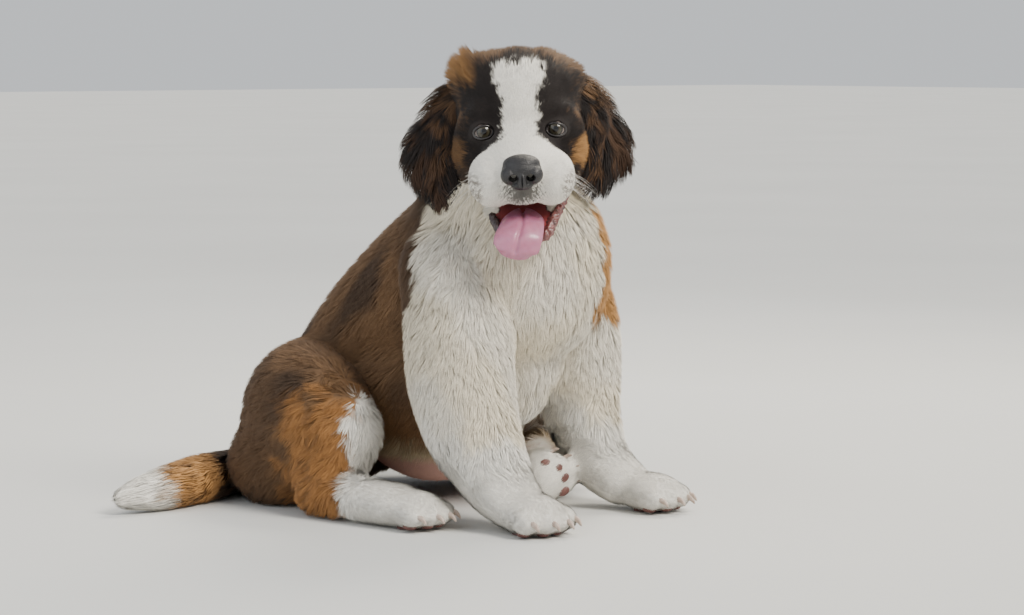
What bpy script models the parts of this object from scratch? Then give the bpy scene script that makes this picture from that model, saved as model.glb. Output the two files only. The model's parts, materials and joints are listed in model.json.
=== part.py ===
"""A Saint Bernard puppy of about fifteen weeks, sitting, as a still life-size model.

The puppy faces -Y, its left side is +X, and it sits on the plane Z = 0. Its body is pressed from
overlapping forms into one skin, which is then parted with thin cuts into the pieces a person would name.
"""

import math
import random

import bmesh
import bpy
from mathutils import Matrix, Vector
from mathutils.bvhtree import BVHTree

# All sizes are in metres.
CUT = 0.0003  # width of the thin cuts that part one piece from the next
RING_SIDES = 24
RINGS_IN_SPAN = 5
CAP_RINGS = 5

BODY_VOXEL = 0.006
BODY_ROUNDS = 9
BODY_TRIANGLES = 2400
REGION_TRIANGLES = 140
HEAD_VOXEL = 0.0035
HEAD_ROUNDS = 14
HEAD_TRIANGLES = 1300
JAW_TRIANGLES = 260
EAR_TRIANGLES = 240
TONGUE_TRIANGLES = 220
NOSE_TRIANGLES = 200
TONGUE_VOXEL = 0.0025
NOSE_VOXEL = 0.0022
EAR_VOXEL = 0.003

# Stations run along a form: (centre, half width, half depth).
TRUNK = (
    ((0.000, 0.188, 0.074), 0.098, 0.074),
    ((0.000, 0.152, 0.112), 0.110, 0.098),
    ((0.000, 0.088, 0.168), 0.108, 0.106),
    ((0.000, 0.010, 0.226), 0.106, 0.110),
    ((0.000, -0.064, 0.280), 0.098, 0.100),
    ((0.000, -0.096, 0.330), 0.082, 0.084),
)
BELLY = ((-0.008, 0.020, 0.120), (0.098, 0.105, 0.100))
FORECHEST = ((0.008, -0.112, 0.268), (0.096, 0.092, 0.108))
NECK = (
    ((0.000, -0.072, 0.300), 0.090, 0.092),
    ((-0.003, -0.096, 0.350), 0.078, 0.080),
    ((-0.006, -0.098, 0.384), 0.062, 0.064),
)
FORELEG_RIGHT = (
    ((-0.072, -0.075, 0.270), 0.044, 0.056),
    ((-0.084, -0.112, 0.215), 0.052, 0.062),
    ((-0.092, -0.130, 0.150), 0.055, 0.058),
    ((-0.090, -0.150, 0.095), 0.049, 0.050),
    ((-0.084, -0.178, 0.050), 0.040, 0.038),
    ((-0.080, -0.205, 0.028), 0.038, 0.027),
)
FORELEG_LEFT = (
    ((0.070, -0.068, 0.270), 0.044, 0.055),
    ((0.088, -0.092, 0.215), 0.050, 0.056),
    ((0.096, -0.100, 0.150), 0.046, 0.050),
    ((0.095, -0.110, 0.098), 0.041, 0.043),
    ((0.104, -0.128, 0.050), 0.034, 0.034),
    ((0.112, -0.158, 0.028), 0.035, 0.026),
)
THIGH_RIGHT = (
    ((-0.088, 0.152, 0.096), 0.068, 0.090),
    ((-0.132, 0.106, 0.094), 0.070, 0.094),
    ((-0.148, 0.034, 0.092), 0.055, 0.074),
    ((-0.152, -0.004, 0.088), 0.042, 0.052),
)
HAUNCH_RIGHT = ((-0.140, 0.112, 0.046), (0.064, 0.072, 0.056))
SHANK_RIGHT = (
    ((-0.150, -0.006, 0.092), 0.038, 0.042),
    ((-0.162, 0.008, 0.050), 0.036, 0.040),
    ((-0.168, 0.006, 0.030), 0.034, 0.034),
)
HINDFOOT_RIGHT = (
    ((-0.170, 0.012, 0.028), 0.030, 0.030),
    ((-0.164, -0.045, 0.024), 0.030, 0.026),
    ((-0.152, -0.100, 0.022), 0.036, 0.024),
)
THIGH_LEFT = (
    ((0.078, 0.145, 0.092), 0.062, 0.080),
    ((0.112, 0.088, 0.084), 0.064, 0.080),
    ((0.145, 0.020, 0.070), 0.050, 0.060),
    ((0.158, -0.008, 0.060), 0.040, 0.046),
)
SHANK_LEFT = (
    ((0.155, -0.006, 0.058), 0.038, 0.040),
    ((0.122, -0.022, 0.042), 0.034, 0.036),
    ((0.088, -0.040, 0.034), 0.030, 0.032),
)
HINDFOOT_LEFT = (
    ((0.088, -0.042, 0.032), 0.028, 0.030),
    ((0.062, -0.075, 0.032), 0.024, 0.030),
    ((0.036, -0.108, 0.034), 0.024, 0.032),
)
TAIL = (
    ((0.000, 0.190, 0.042), 0.034, 0.034),
    ((-0.070, 0.222, 0.026), 0.028, 0.026),
    ((-0.142, 0.212, 0.023), 0.026, 0.023),
    ((-0.212, 0.178, 0.024), 0.027, 0.025),
    ((-0.280, 0.152, 0.024), 0.025, 0.024),
    ((-0.350, 0.150, 0.024), 0.013, 0.013),
)
# Each paw: centre, the way its toes point, the way its back faces, and its size beside the forepaw.
PAWS = {
    "forepaw_right": ((-0.078, -0.228, 0.020), (0.05, -1.0, 0.0), (0, 0, 1), 1.0),
    "forepaw_left": ((0.122, -0.192, 0.020), (0.25, -1.0, 0.0), (0, 0, 1), 0.95),
    "hindfoot_right": ((-0.148, -0.122, 0.020), (0.20, -1.0, 0.0), (0, 0, 1), 0.92),
    "hindfoot_left": ((0.040, -0.106, 0.032), (0.50, -0.36, 0.42), (0.45, 0.75, 0.35), 0.80),
}
PAW_HALF = (0.036, 0.038, 0.024)
TOE_HALF = (0.0125, 0.020, 0.015)
TOE_SPREAD = (-0.0285, -0.0095, 0.0095, 0.0285)
TOE_REACH = (0.018, 0.028, 0.028, 0.018)
TOE_DROP = 0.004
CLAW_HALF = (0.0030, 0.0080, 0.0042)
CLAW_REACH = 0.0165  # from the middle of its toe
CLAW_FAN = 1.05  # claws spread a little wider than their toes

# Each piece of a limb is parted off in a region this much wider than the limb's own stations.
REGION_SWELL = {
    "tail": 0.012,
    "hindfoot_right": 0.014,
    "hindfoot_left": 0.013,
    "thigh_right": 0.012,
    "thigh_left": 0.012,
    "foreleg_right": 0.010,
    "foreleg_left": 0.010,
}
REGION_PADS = {  # half sizes of the region round each paw
    "hindfoot_right": (0.060, 0.060, 0.040),
    "hindfoot_left": (0.045, 0.045, 0.045),
    "forepaw_right": (0.060, 0.065, 0.040),
    "forepaw_left": (0.060, 0.065, 0.040),
}
# Planes that part a piece from the next: a point, and the normal toward the piece.
TAIL_TIP_PLANE = ((-0.262, 0.172, 0.024), (-1.0, -0.25, 0.0))
NECK_PLANE = ((0.0, -0.085, 0.335), (0.0, -0.35, 0.94))
CHEST_PLANE = ((0.0, -0.055, 0.250), (0.0, -0.92, 0.39))
PASTERN_NORMAL = (0.0, -0.8, -0.6)

# Locks of the coat: flat and tapered, rooted in the body and lying along it.
LOCK_SEED = 5
LOCK_STEPS = (0.0, 0.34, 0.68)  # where along a lock its rings are
LOCK_BREADTH = (0.55, 1.0, 0.74)  # how broad each ring is
LOCK_LIFT = (-0.90, 0.15, 0.75)  # how far each ring stands out of the body
LOCK_TIP_LIFT = 1.0
LOCK_THICK = 0.0032
LOCK_ROOT = 0.35  # how much of a lock lies behind the middle of its spot
LOCK_LENGTHS = (0.8, 1.2)
LOCK_WIDTHS = (0.85, 1.15)
LOCK_SWING = 0.35  # radians either way
LOCK_WAVE = (0.6, 0.5)  # turns of its sideways wave, and how wide the wave is beside its half breadth
LOCK_CLEARANCE = 0.0020
PROBE = (0.13, 0.21, 1.0)  # the way a ray is cast to tell inside from outside
PROBE_STEP = 0.000001
LOCK_FLOOR = 0.004  # locks stay this far above the floor
RUFF_LOW = 0.17  # the ruff covers the neck and chest above this height
RUFF_BACK = -0.045  # and in front of this Y
LEG_COAT_LOW = 0.055  # below this the coat is short
LEG_SIDE = 0.10  # beyond this X a leg's coat grows, not the trunk's
BARE_UNDER = (0.06, -0.35)  # no locks in front of this Y where the skin faces down more than this
TAIL_BACK = 0.19  # the tail's root lies behind this Y
TAIL_SIDE = (-0.165, 0.13)  # its free end lies beyond this X and this Y
TAIL_TOP = 0.07
TAIL_ROOT_SIDE = -0.04
TAIL_LIE = (-0.93, -0.30, 0.0)
TRUNK_LIE = 0.85  # how much the coat of the back lies rearward
LIE_TURNS = (-0.11, 0.03)  # between these Ys it turns from straight down to that
# Each growth: distance apart, length, half breadth, height of the tips over the body.
GROWTHS = {
    "trunk": (0.062, 0.092, 0.0200, 0.0070),
    "ruff": (0.047, 0.078, 0.0170, 0.0085),
    "leg": (0.048, 0.060, 0.0140, 0.0060),
    "tail": (0.034, 0.058, 0.0110, 0.0060),
    "ear": (0.026, 0.046, 0.0100, 0.0045),
}

# The head has its own frame: -Y runs out along the muzzle from the middle of the skull.
HEAD_CENTRE = (-0.0055, -0.1214, 0.4166)
HEAD_TURN = (3.3, -2.3, -39.8)  # degrees about its X, Y and Z: nose down, tilt, and turn to the right
SKULL = ((0, 0.004, 0.014), (0.068, 0.082, 0.066))
CROWN = ((0.026, 0.004, 0.040), (0.040, 0.062, 0.038))
FOREHEAD = ((0, -0.034, 0.026), (0.054, 0.040, 0.046))
CHEEK = ((0.040, -0.016, -0.026), (0.034, 0.050, 0.044))
FOREFACE = ((0.029, -0.034, -0.006), (0.040, 0.036, 0.042))
BROW = ((0.033, -0.052, 0.020), (0.022, 0.017, 0.013))
LIDS = ((0.0375, -0.0600, 0.0), (0.0175, 0.0130, 0.0140))
MUZZLE = (
    ((0, -0.040, -0.014), 0.044, 0.036),
    ((0, -0.080, -0.026), 0.040, 0.032),
    ((0, -0.112, -0.036), 0.036, 0.027),
)
FLEW = ((0.029, -0.094, -0.046), (0.027, 0.040, 0.031))
UPPER_LIP = ((0, -0.112, -0.056), (0.024, 0.022, 0.018))
PALATE = ((0, -0.084, -0.078), (0.021, 0.056, 0.016))
PALATE_TURN = 14  # degrees
JAW = (
    ((0, -0.004, -0.056), 0.046, 0.030),
    ((0, -0.055, -0.080), 0.042, 0.018),
    ((0, -0.098, -0.096), 0.033, 0.012),
)
TONGUE = (
    ((0, -0.050, -0.067), 0.018, 0.005),
    ((0, -0.086, -0.078), 0.022, 0.006),
    ((-0.003, -0.118, -0.086), 0.024, 0.006),
    ((-0.007, -0.136, -0.103), 0.0265, 0.006),
    ((-0.010, -0.137, -0.121), 0.020, 0.005),
)
NOSE = ((0, -0.136, -0.037), (0.0215, 0.0170, 0.0175))
NOSTRIL = ((0.0092, -0.151, -0.041), (0.0046, 0.0090, 0.0038))
EYE = (0.0375, -0.0585, 0.0)
EYE_RADIUS = 0.0118
EYE_SPLITS = 2
EYE_SLIT = (0.0088, 0.020, 0.0060)
EYE_SLANT = 8  # degrees
EAR = (
    ((0.046, 0.014, 0.054), 0.024, 0.014),
    ((0.066, 0.008, 0.042), 0.028, 0.013),
    ((0.083, 0.000, 0.018), 0.034, 0.012),
    ((0.094, -0.006, -0.010), 0.040, 0.011),
    ((0.096, -0.012, -0.036), 0.036, 0.010),
    ((0.089, -0.018, -0.060), 0.023, 0.008),
    ((0.082, -0.022, -0.082), 0.010, 0.006),
)
EAR_SIDE = (0.75, 0.66, 0.0)
EAR_CUP = 0.25
EAR_FRINGE = -0.10  # its locks also drop toward the floor by this
TONGUE_CUP = -0.10

FINISHES = {  # base colour, roughness
    "white coat": ((0.80, 0.77, 0.71), 0.90),
    "brown coat": ((0.30, 0.145, 0.055), 0.90),
    "black coat": ((0.030, 0.022, 0.018), 0.85),
    "tongue": ((0.80, 0.36, 0.43), 0.40),
    "nose leather": ((0.030, 0.028, 0.030), 0.45),
    "eye": ((0.075, 0.055, 0.035), 0.10),
}
FINISH_OF = {
    "torso": "brown coat",
    "tail": "brown coat",
    "thigh_right": "brown coat",
    "thigh_left": "brown coat",
    "ear_right": "black coat",
    "ear_left": "black coat",
    "tongue": "tongue",
    "nose": "nose leather",
    "eye_right": "eye",
    "eye_left": "eye",
}


def clear_scene():
    """Removes what the startup file holds."""
    for item in list(bpy.data.objects):
        bpy.data.objects.remove(item)


def link(name, mesh):
    """A new object of this mesh in the scene."""
    made = bpy.data.objects.new(name, mesh)
    bpy.context.scene.collection.objects.link(made)
    return made


def smooth_path(stations):
    """Stations on a Catmull-Rom curve through the given ones, each as (centre, half width, half depth)."""
    rows = [Vector((*centre, wide, deep)) for centre, wide, deep in stations]
    rows = [2 * rows[0] - rows[1], *rows, 2 * rows[-1] - rows[-2]]
    path = []
    for a, b, c, d in zip(rows, rows[1:], rows[2:], rows[3:]):
        for step in range(RINGS_IN_SPAN):
            t = step / RINGS_IN_SPAN
            bend = (2 * a - 5 * b + 4 * c - d) * t**2 + (3 * b - a - 3 * c + d) * t**3
            path.append(0.5 * (2 * b + (c - a) * t + bend))
    path.append(rows[-2])
    return [(Vector(row[:3]), row[3], row[4]) for row in path]


def turned(degrees):
    """A rotation by degrees about X, then Y, then Z."""
    x, y, z = (Matrix.Rotation(math.radians(angle), 4, axis) for angle, axis in zip(degrees, "XYZ"))
    return z @ y @ x


class Clay:
    """Closed forms that overlap, kept in one bmesh until they are fused."""

    def __init__(self, place=None):
        self.forms = bmesh.new()
        self.place = place or Matrix()

    def ball(self, centre, half, turn=(0, 0, 0), grow=0.0, splits=3):
        """An ellipsoid, turned by degrees about X, Y and Z."""
        sizes = [size + grow for size in half]
        matrix = self.place @ Matrix.Translation(centre) @ turned(turn) @ Matrix.Diagonal((*sizes, 1))
        bmesh.ops.create_icosphere(self.forms, subdivisions=splits, radius=1, matrix=matrix)
        return self

    def lump(self, centre, half, place, size, splits=3):
        """An ellipsoid in the frame of a paw of this size."""
        matrix = place @ Matrix.Scale(size, 4) @ Matrix.Translation(centre) @ Matrix.Diagonal((*half, 1))
        bmesh.ops.create_icosphere(self.forms, subdivisions=splits, radius=1, matrix=matrix)

    def pair(self, centre, half, turn=(0, 0, 0)):
        """The same ellipsoid on both sides of X = 0."""
        for side in (-1, 1):
            mirrored = (turn[0], side * turn[1], side * turn[2])
            self.ball((side * centre[0], centre[1], centre[2]), half, mirrored)
        return self

    def limb(self, stations, side=(1, 0, 0), grow=0.0, cup=0.0):
        """A bent tube of oval section with round ends, its width along side, its edges curled in by cup."""
        path = smooth_path(stations)
        centres = [row[0] for row in path]
        rings = []
        for i, (centre, wide, deep) in enumerate(path):
            along = (centres[min(i + 1, len(path) - 1)] - centres[max(i - 1, 0)]).normalized()
            rings.append([centre, wide + grow, deep + grow, along])
        first, last = rings[0], rings[-1]
        for k in range(1, CAP_RINGS):
            angle = math.pi / 2 * k / CAP_RINGS
            for end, way in ((first, -1), (last, 1)):
                centre, wide, deep, along = end
                reach = way * min(wide, deep) * math.sin(angle)
                cap = [centre + along * reach, wide * math.cos(angle), deep * math.cos(angle), along]
                rings.insert(0, cap) if way < 0 else rings.append(cap)
        loops = [self.ring(Vector(side), cup, *row) for row in rings]
        for low, high in zip(loops, loops[1:]):
            for k in range(RING_SIDES):
                after = (k + 1) % RING_SIDES
                self.forms.faces.new((low[k], low[after], high[after], high[k]))
        self.forms.faces.new(reversed(loops[0]))
        self.forms.faces.new(loops[-1])
        return self

    def ring(self, side, cup, centre, wide, deep, along):
        """One oval loop of vertices round the centre."""
        across = (side - along * along.dot(side)).normalized()
        over = along.cross(across)
        loop = []
        for k in range(RING_SIDES):
            angle = math.tau * k / RING_SIDES
            lift = deep * math.sin(angle) + cup * wide * math.cos(angle) ** 2
            point = centre + across * wide * math.cos(angle) + over * lift
            loop.append(self.forms.verts.new(self.place @ point))
        return loop

    def solid(self, name):
        """The forms as one object, each still a closed body of its own."""
        bmesh.ops.recalc_face_normals(self.forms, faces=self.forms.faces)
        mesh = bpy.data.meshes.new(name)
        self.forms.to_mesh(mesh)
        self.forms.free()
        return link(name, mesh)

    def fuse(self, name, voxel, rounds, triangles):
        """The forms as one smooth skin of about this many triangles."""
        body = self.solid(name)
        remesh = body.modifiers.new("Fuse", "REMESH")
        remesh.mode = "VOXEL"
        remesh.voxel_size = voxel
        smooth = body.modifiers.new("Blend", "SMOOTH")
        smooth.factor = 0.5
        smooth.iterations = rounds
        apply_modifiers(body)
        fewer = body.modifiers.new("Fewer faces", "DECIMATE")
        fewer.ratio = min(1.0, triangles / (2 * len(body.data.polygons)))
        fewer.use_collapse_triangulate = True
        apply_modifiers(body)
        return body


def apply_modifiers(body):
    """Replaces the object's mesh with what its modifiers make of it."""
    graph = bpy.context.evaluated_depsgraph_get()
    graph.update()
    mesh = bpy.data.meshes.new_from_object(body.evaluated_get(graph))
    body.modifiers.clear()
    body.data = mesh


def remove(body):
    """Deletes an object that has done its work."""
    bpy.data.objects.remove(body)


def copy_of(body, name):
    """A separate object with its own copy of the mesh."""
    return link(name, body.data.copy())


def carve(body, cutter, operation="DIFFERENCE", solver="EXACT"):
    """Cuts, joins or crosses body with cutter, then keeps its largest closed surface."""
    change = body.modifiers.new("Carve", "BOOLEAN")
    change.operation = operation
    change.solver = solver
    change.object = cutter
    apply_modifiers(body)
    remove(cutter)
    keep_largest(body)
    return body


def keep_largest(body):
    """Drops every closed surface of the mesh but the one that holds most."""
    work = bmesh.new()
    work.from_mesh(body.data)
    work.faces.ensure_lookup_table()
    unseen = set(work.faces)
    shells = []
    while unseen:
        shell = []
        reach = [unseen.pop()]
        while reach:
            face = reach.pop()
            shell.append(face)
            for edge in face.edges:
                near = [other for other in edge.link_faces if other in unseen]
                unseen.difference_update(near)
                reach.extend(near)
        shells.append(shell)
    shells.sort(key=shell_volume, reverse=True)
    loose = [face for shell in shells[1:] for face in shell]
    bmesh.ops.delete(work, geom=loose, context="FACES")
    work.to_mesh(body.data)
    work.free()


def shell_volume(shell):
    """The volume inside a closed set of faces."""
    total = 0.0
    for face in shell:
        first = face.verts[0].co
        for a, b in zip(face.verts[1:], face.verts[2:]):
            total += first.dot(a.co.cross(b.co)) / 6
    return total


def grown(body, name):
    """A copy of the object that stands out from it by the width of a cut."""
    made = copy_of(body, name)
    swell = made.modifiers.new("Grow", "DISPLACE")
    swell.mid_level = 0.0
    swell.strength = CUT
    apply_modifiers(made)
    return made


def part_off(rest, name, region, wider):
    """Takes what lies in the region out of rest as a piece of its own, and what lies in the wider one."""
    piece = carve(copy_of(rest, name), region, "INTERSECT", "MANIFOLD")
    carve(rest, wider, "DIFFERENCE", "MANIFOLD")
    return piece


def limb_off(rest, name, *limbs, balls=()):
    """Parts off all of rest that lies in these limbs, taken a little larger."""
    swell = REGION_SWELL[name]
    clay = Clay()
    for stations in limbs:
        clay.limb(stations, grow=swell)
    for centre, half in balls:
        clay.ball(centre, half, grow=swell)
    region = clay.fuse("region", 2 * BODY_VOXEL, 2, REGION_TRIANGLES)
    wider = grown(region, "wider")
    return part_off(rest, name, region, wider)


def plane_off(rest, name, point, normal):
    """Parts off all of rest that lies on the side of a plane that its normal points to."""
    return part_off(rest, name, half_space(point, normal, 0.0), half_space(point, normal, CUT))


def half_space(point, normal, gap=0.0):
    """A large block on the side of a plane that its normal points to, moved past the plane by gap."""
    way = Vector(normal).normalized()
    centre = Vector(point) + way * (0.5 - gap)
    spin = way.to_track_quat("Z", "Y").to_matrix().to_4x4()
    work = bmesh.new()
    bmesh.ops.create_cube(work, size=1.0, matrix=Matrix.Translation(centre) @ spin)
    mesh = bpy.data.meshes.new("region")
    work.to_mesh(mesh)
    work.free()
    return link("region", mesh)


def make_body():
    """The whole puppy behind its head, as one skin that sits on flats at Z = 0."""
    clay = Clay()
    clay.limb(TRUNK).limb(NECK).limb(TAIL)
    clay.ball(*BELLY).ball(*FORECHEST)
    for leg in (FORELEG_RIGHT, FORELEG_LEFT, THIGH_RIGHT, THIGH_LEFT, SHANK_RIGHT, SHANK_LEFT):
        clay.limb(leg)
    clay.limb(HINDFOOT_RIGHT).limb(HINDFOOT_LEFT).ball(*HAUNCH_RIGHT)
    for paw in PAWS.values():
        add_paw(clay, *paw)
    body = clay.fuse("body", BODY_VOXEL, BODY_ROUNDS, BODY_TRIANGLES)
    add_claws(body)
    return body


def on_tail(point):
    """Whether this place on the body is on the tail."""
    if point.z > TAIL_TOP:
        return False
    if point.x < TAIL_SIDE[0] and point.y > TAIL_SIDE[1]:
        return True
    return point.x < TAIL_ROOT_SIDE and point.y > TAIL_BACK


def body_growth(point, normal):
    """The kind of lock that grows at this place on the body, or None where the coat is short."""
    if on_tail(point):
        return "tail"
    if point.z < LEG_COAT_LOW or (point.y < BARE_UNDER[0] and normal.z < BARE_UNDER[1]):
        return None
    if point.y < RUFF_BACK and point.z > RUFF_LOW:
        return "ruff"
    if point.z < RUFF_LOW and (point.y < RUFF_BACK or abs(point.x) > LEG_SIDE):
        return "leg"
    return "trunk"


def body_lie(point):
    """The way the coat lies: down the chest and legs, down and back over the trunk, out along the tail."""
    if on_tail(point):
        return Vector(TAIL_LIE)
    front, behind = LIE_TURNS
    back = min(max((point.y - front) / (behind - front), 0.0), 1.0)
    return Vector((0.0, TRUNK_LIE * back, -1.0))


def tree_of(body):
    """A search tree of the object's faces."""
    return BVHTree.FromPolygons([v.co for v in body.data.vertices], [p.vertices for p in body.data.polygons])


def grow_coat(body, growth_at, lie_at, others=()):
    """Fuses seeded locks to the body, evenly spread, each bent along the surface it grows from.

    A lock that would come near one of the others isn't grown.
    """
    draw = random.Random(LOCK_SEED)
    tree = tree_of(body)
    fences = [tree_of(other) for other in others]
    spots = [(polygon.center.copy(), polygon.normal.copy()) for polygon in body.data.polygons]
    draw.shuffle(spots)
    roots = []
    for spot, normal in spots:
        kind = growth_at(spot, normal)
        if kind is None:
            continue
        apart = GROWTHS[kind][0]
        if all((spot - root[0]).length > apart for root in roots):
            roots.append((spot, normal, kind))
    locks = bpy.data.collections.new("locks")
    for spot, normal, kind in roots:
        mesh = lock_mesh(tree, spot, normal, lie_at(spot), GROWTHS[kind], draw)
        if all(stands_clear(mesh, fence) for fence in fences):
            locks.objects.link(bpy.data.objects.new("lock", mesh))
    join = body.modifiers.new("Join locks", "BOOLEAN")
    join.operation = "UNION"
    join.solver = "MANIFOLD"
    join.operand_type = "COLLECTION"
    join.collection = locks
    apply_modifiers(body)
    for lock in list(locks.objects):
        remove(lock)
    bpy.data.collections.remove(locks)
    keep_largest(body)


def stands_clear(mesh, fence):
    """Whether the corners and edges of a mesh all lie outside a closed surface, with room to spare."""
    corners = [vertex.co for vertex in mesh.vertices]
    middles = [(corners[a] + corners[b]) / 2 for a, b in (edge.vertices for edge in mesh.edges)]
    for point in corners + middles:
        if fence.find_nearest(point)[3] < LOCK_CLEARANCE or is_inside(fence, point):
            return False
    return True


def is_inside(fence, point):
    """Whether a ray from the point leaves the closed surface an odd number of times."""
    ray = Vector(PROBE).normalized()
    hits = 0
    hit = fence.ray_cast(point, ray)[0]
    while hit is not None:
        hits += 1
        hit = fence.ray_cast(hit + ray * PROBE_STEP, ray)[0]
    return hits % 2 == 1


def lock_mesh(tree, spot, normal, lie, growth, draw):
    """One lock: rings of four points that follow the surface and taper to a tip."""
    length, half, height = growth[1:]
    length *= draw.uniform(*LOCK_LENGTHS)
    half *= draw.uniform(*LOCK_WIDTHS)
    swing = draw.uniform(-LOCK_SWING, LOCK_SWING)
    along = (lie - normal * lie.dot(normal)).normalized()
    along = Matrix.Rotation(swing, 3, normal) @ along
    work = bmesh.new()
    rings = []
    place = spot - along * (LOCK_ROOT * length)
    step_before = 0.0
    for step, breadth, lift in zip((*LOCK_STEPS, 1.0), (*LOCK_BREADTH, 0.0), (*LOCK_LIFT, LOCK_TIP_LIFT)):
        place = place + along * ((step - step_before) * length)
        step_before = step
        on, up = tree.find_nearest(place)[:2]
        along = (along - up * along.dot(up)).normalized()
        across = along.cross(up)
        curl = math.sin(math.tau * (step * LOCK_WAVE[0] + swing)) * half * LOCK_WAVE[1]
        centre = on + up * (height * lift) + across * curl
        centre.z = max(centre.z, LOCK_FLOOR)
        place = on
        if breadth == 0.0:
            tip = work.verts.new(centre)
            break
        wide = across * (half * breadth)
        deep = up * LOCK_THICK
        rings.append([work.verts.new(centre + offset) for offset in (wide, deep, -wide, -deep)])
    for low, high in zip(rings, rings[1:]):
        for k in range(4):
            after = (k + 1) % 4
            work.faces.new((low[k], low[after], high[after], high[k]))
    for k in range(4):
        work.faces.new((rings[-1][k], rings[-1][(k + 1) % 4], tip))
    work.faces.new(reversed(rings[0]))
    bmesh.ops.triangulate(work, faces=work.faces)
    bmesh.ops.recalc_face_normals(work, faces=work.faces)
    mesh = bpy.data.meshes.new("lock")
    work.to_mesh(mesh)
    work.free()
    return mesh


def paw_place(centre, way, back):
    """The matrix that sets a paw's own frame, its toes pointing to -Y, on the body."""
    way = Vector(way).normalized()
    side = way.cross(Vector(back)).normalized()
    return Matrix.Translation(centre) @ Matrix((-side, -way, side.cross(way))).transposed().to_4x4()


def add_paw(clay, centre, way, back, size):
    """A pad of a paw with four toes fanned in front of it."""
    place = paw_place(centre, way, back)
    clay.lump((0, 0, 0), PAW_HALF, place, size)
    for spread, reach in zip(TOE_SPREAD, TOE_REACH):
        clay.lump((spread, -reach, -TOE_DROP), TOE_HALF, place, size)


def add_claws(body):
    """Fuses the tips of the claws to the toes."""
    clay = Clay()
    for centre, way, back, size in PAWS.values():
        place = paw_place(centre, way, back)
        for spread, reach in zip(TOE_SPREAD, TOE_REACH):
            clay.lump((spread * CLAW_FAN, -reach - CLAW_REACH, -TOE_DROP), CLAW_HALF, place, size, splits=1)
    return carve(body, clay.solid("claws"), "UNION")


def head_place():
    """The matrix that sets the head's own frame on the neck."""
    return Matrix.Translation(HEAD_CENTRE) @ turned(HEAD_TURN)


def make_head():
    """The skull, cheeks and upper muzzle, with sockets, lids and the roof of the open mouth."""
    clay = Clay(head_place())
    clay.ball(*SKULL).ball(*FOREHEAD).ball(*UPPER_LIP).limb(MUZZLE)
    clay.pair(*CROWN).pair(*CHEEK).pair(*FOREFACE).pair(*BROW).pair(*LIDS).pair(*FLEW)
    head = clay.fuse("head", HEAD_VOXEL, HEAD_ROUNDS, HEAD_TRIANGLES)
    carve(head, Clay(head_place()).ball(*PALATE, turn=(PALATE_TURN, 0, 0)).solid("palate"))
    for side in (-1, 1):
        eye = (side * EYE[0], EYE[1], EYE[2])
        slit = (eye[0], eye[1] - EYE_RADIUS, eye[2])
        carve(head, Clay(head_place()).ball(slit, EYE_SLIT, (0, side * EYE_SLANT, 0), splits=2).solid("slit"))
        carve(head, Clay(head_place()).ball(eye, [EYE_RADIUS + CUT] * 3, splits=EYE_SPLITS).solid("socket"))
    return head


def make_jaw(head):
    """The lower jaw, dropped open under the muzzle."""
    jaw = Clay(head_place()).limb(JAW).fuse("jaw", HEAD_VOXEL, 3, JAW_TRIANGLES)
    return carve(jaw, grown(head, "cutter"))


def make_tongue(head, jaw):
    """The tongue, lying on the jaw and hanging over its lip."""
    tongue = Clay(head_place()).limb(TONGUE, cup=TONGUE_CUP).fuse("tongue", TONGUE_VOXEL, 2, TONGUE_TRIANGLES)
    carve(tongue, grown(head, "cutter"))
    return carve(tongue, grown(jaw, "cutter"))


def make_nose(head):
    """The nose leather with its two nostrils."""
    nose = Clay(head_place()).ball(*NOSE).fuse("nose", NOSE_VOXEL, 2, NOSE_TRIANGLES)
    for side in (-1, 1):
        hole = (side * NOSTRIL[0][0], *NOSTRIL[0][1:])
        carve(nose, Clay(head_place()).ball(hole, NOSTRIL[1], splits=2).solid("nostril"))
    carve(head, grown(nose, "cutter"))
    return nose


def make_ear(name, side, head, body):
    """A drop ear: a flap that folds over at its root and hangs beside the cheek, cupped inward."""
    rows = [((side * c[0], c[1], c[2]), wide, deep) for c, wide, deep in EAR]
    across = (side * EAR_SIDE[0], EAR_SIDE[1], EAR_SIDE[2])
    clay = Clay(head_place()).limb(rows, side=across, cup=-side * EAR_CUP)
    ear = clay.fuse(name, EAR_VOXEL, 3, EAR_TRIANGLES)
    tip = head_place() @ Vector(rows[-1][0])
    fold = head_place() @ Vector(rows[2][0])

    def growth(point, normal):
        return "ear" if point.z < fold.z else None

    def lie(point):
        return tip - point + Vector((0, 0, EAR_FRINGE))

    grow_coat(ear, growth, lie, (head, body))
    carve(ear, grown(body, "cutter"), "DIFFERENCE", "MANIFOLD")
    return carve(ear, grown(head, "cutter"), "DIFFERENCE", "MANIFOLD")


def part_body(body):
    """Parts the body into the pieces a person would name."""
    pads = {name: [(PAWS[name][0], half)] for name, half in REGION_PADS.items()}
    tail = limb_off(body, "tail", TAIL[1:])
    plane_off(tail, "tail_tip", *TAIL_TIP_PLANE)
    limb_off(body, "hindfoot_right", SHANK_RIGHT[1:], HINDFOOT_RIGHT, balls=pads["hindfoot_right"])
    limb_off(body, "hindfoot_left", SHANK_LEFT[1:], HINDFOOT_LEFT, balls=pads["hindfoot_left"])
    limb_off(body, "thigh_right", THIGH_RIGHT, balls=[HAUNCH_RIGHT])
    limb_off(body, "thigh_left", THIGH_LEFT)
    for side, stations in (("right", FORELEG_RIGHT), ("left", FORELEG_LEFT)):
        leg = limb_off(body, "foreleg_" + side, stations, balls=pads["forepaw_" + side])
        plane_off(leg, "forepaw_" + side, stations[4][0], PASTERN_NORMAL)
    plane_off(body, "neck", *NECK_PLANE)
    plane_off(body, "chest", *CHEST_PLANE)
    body.name = "torso"


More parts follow.
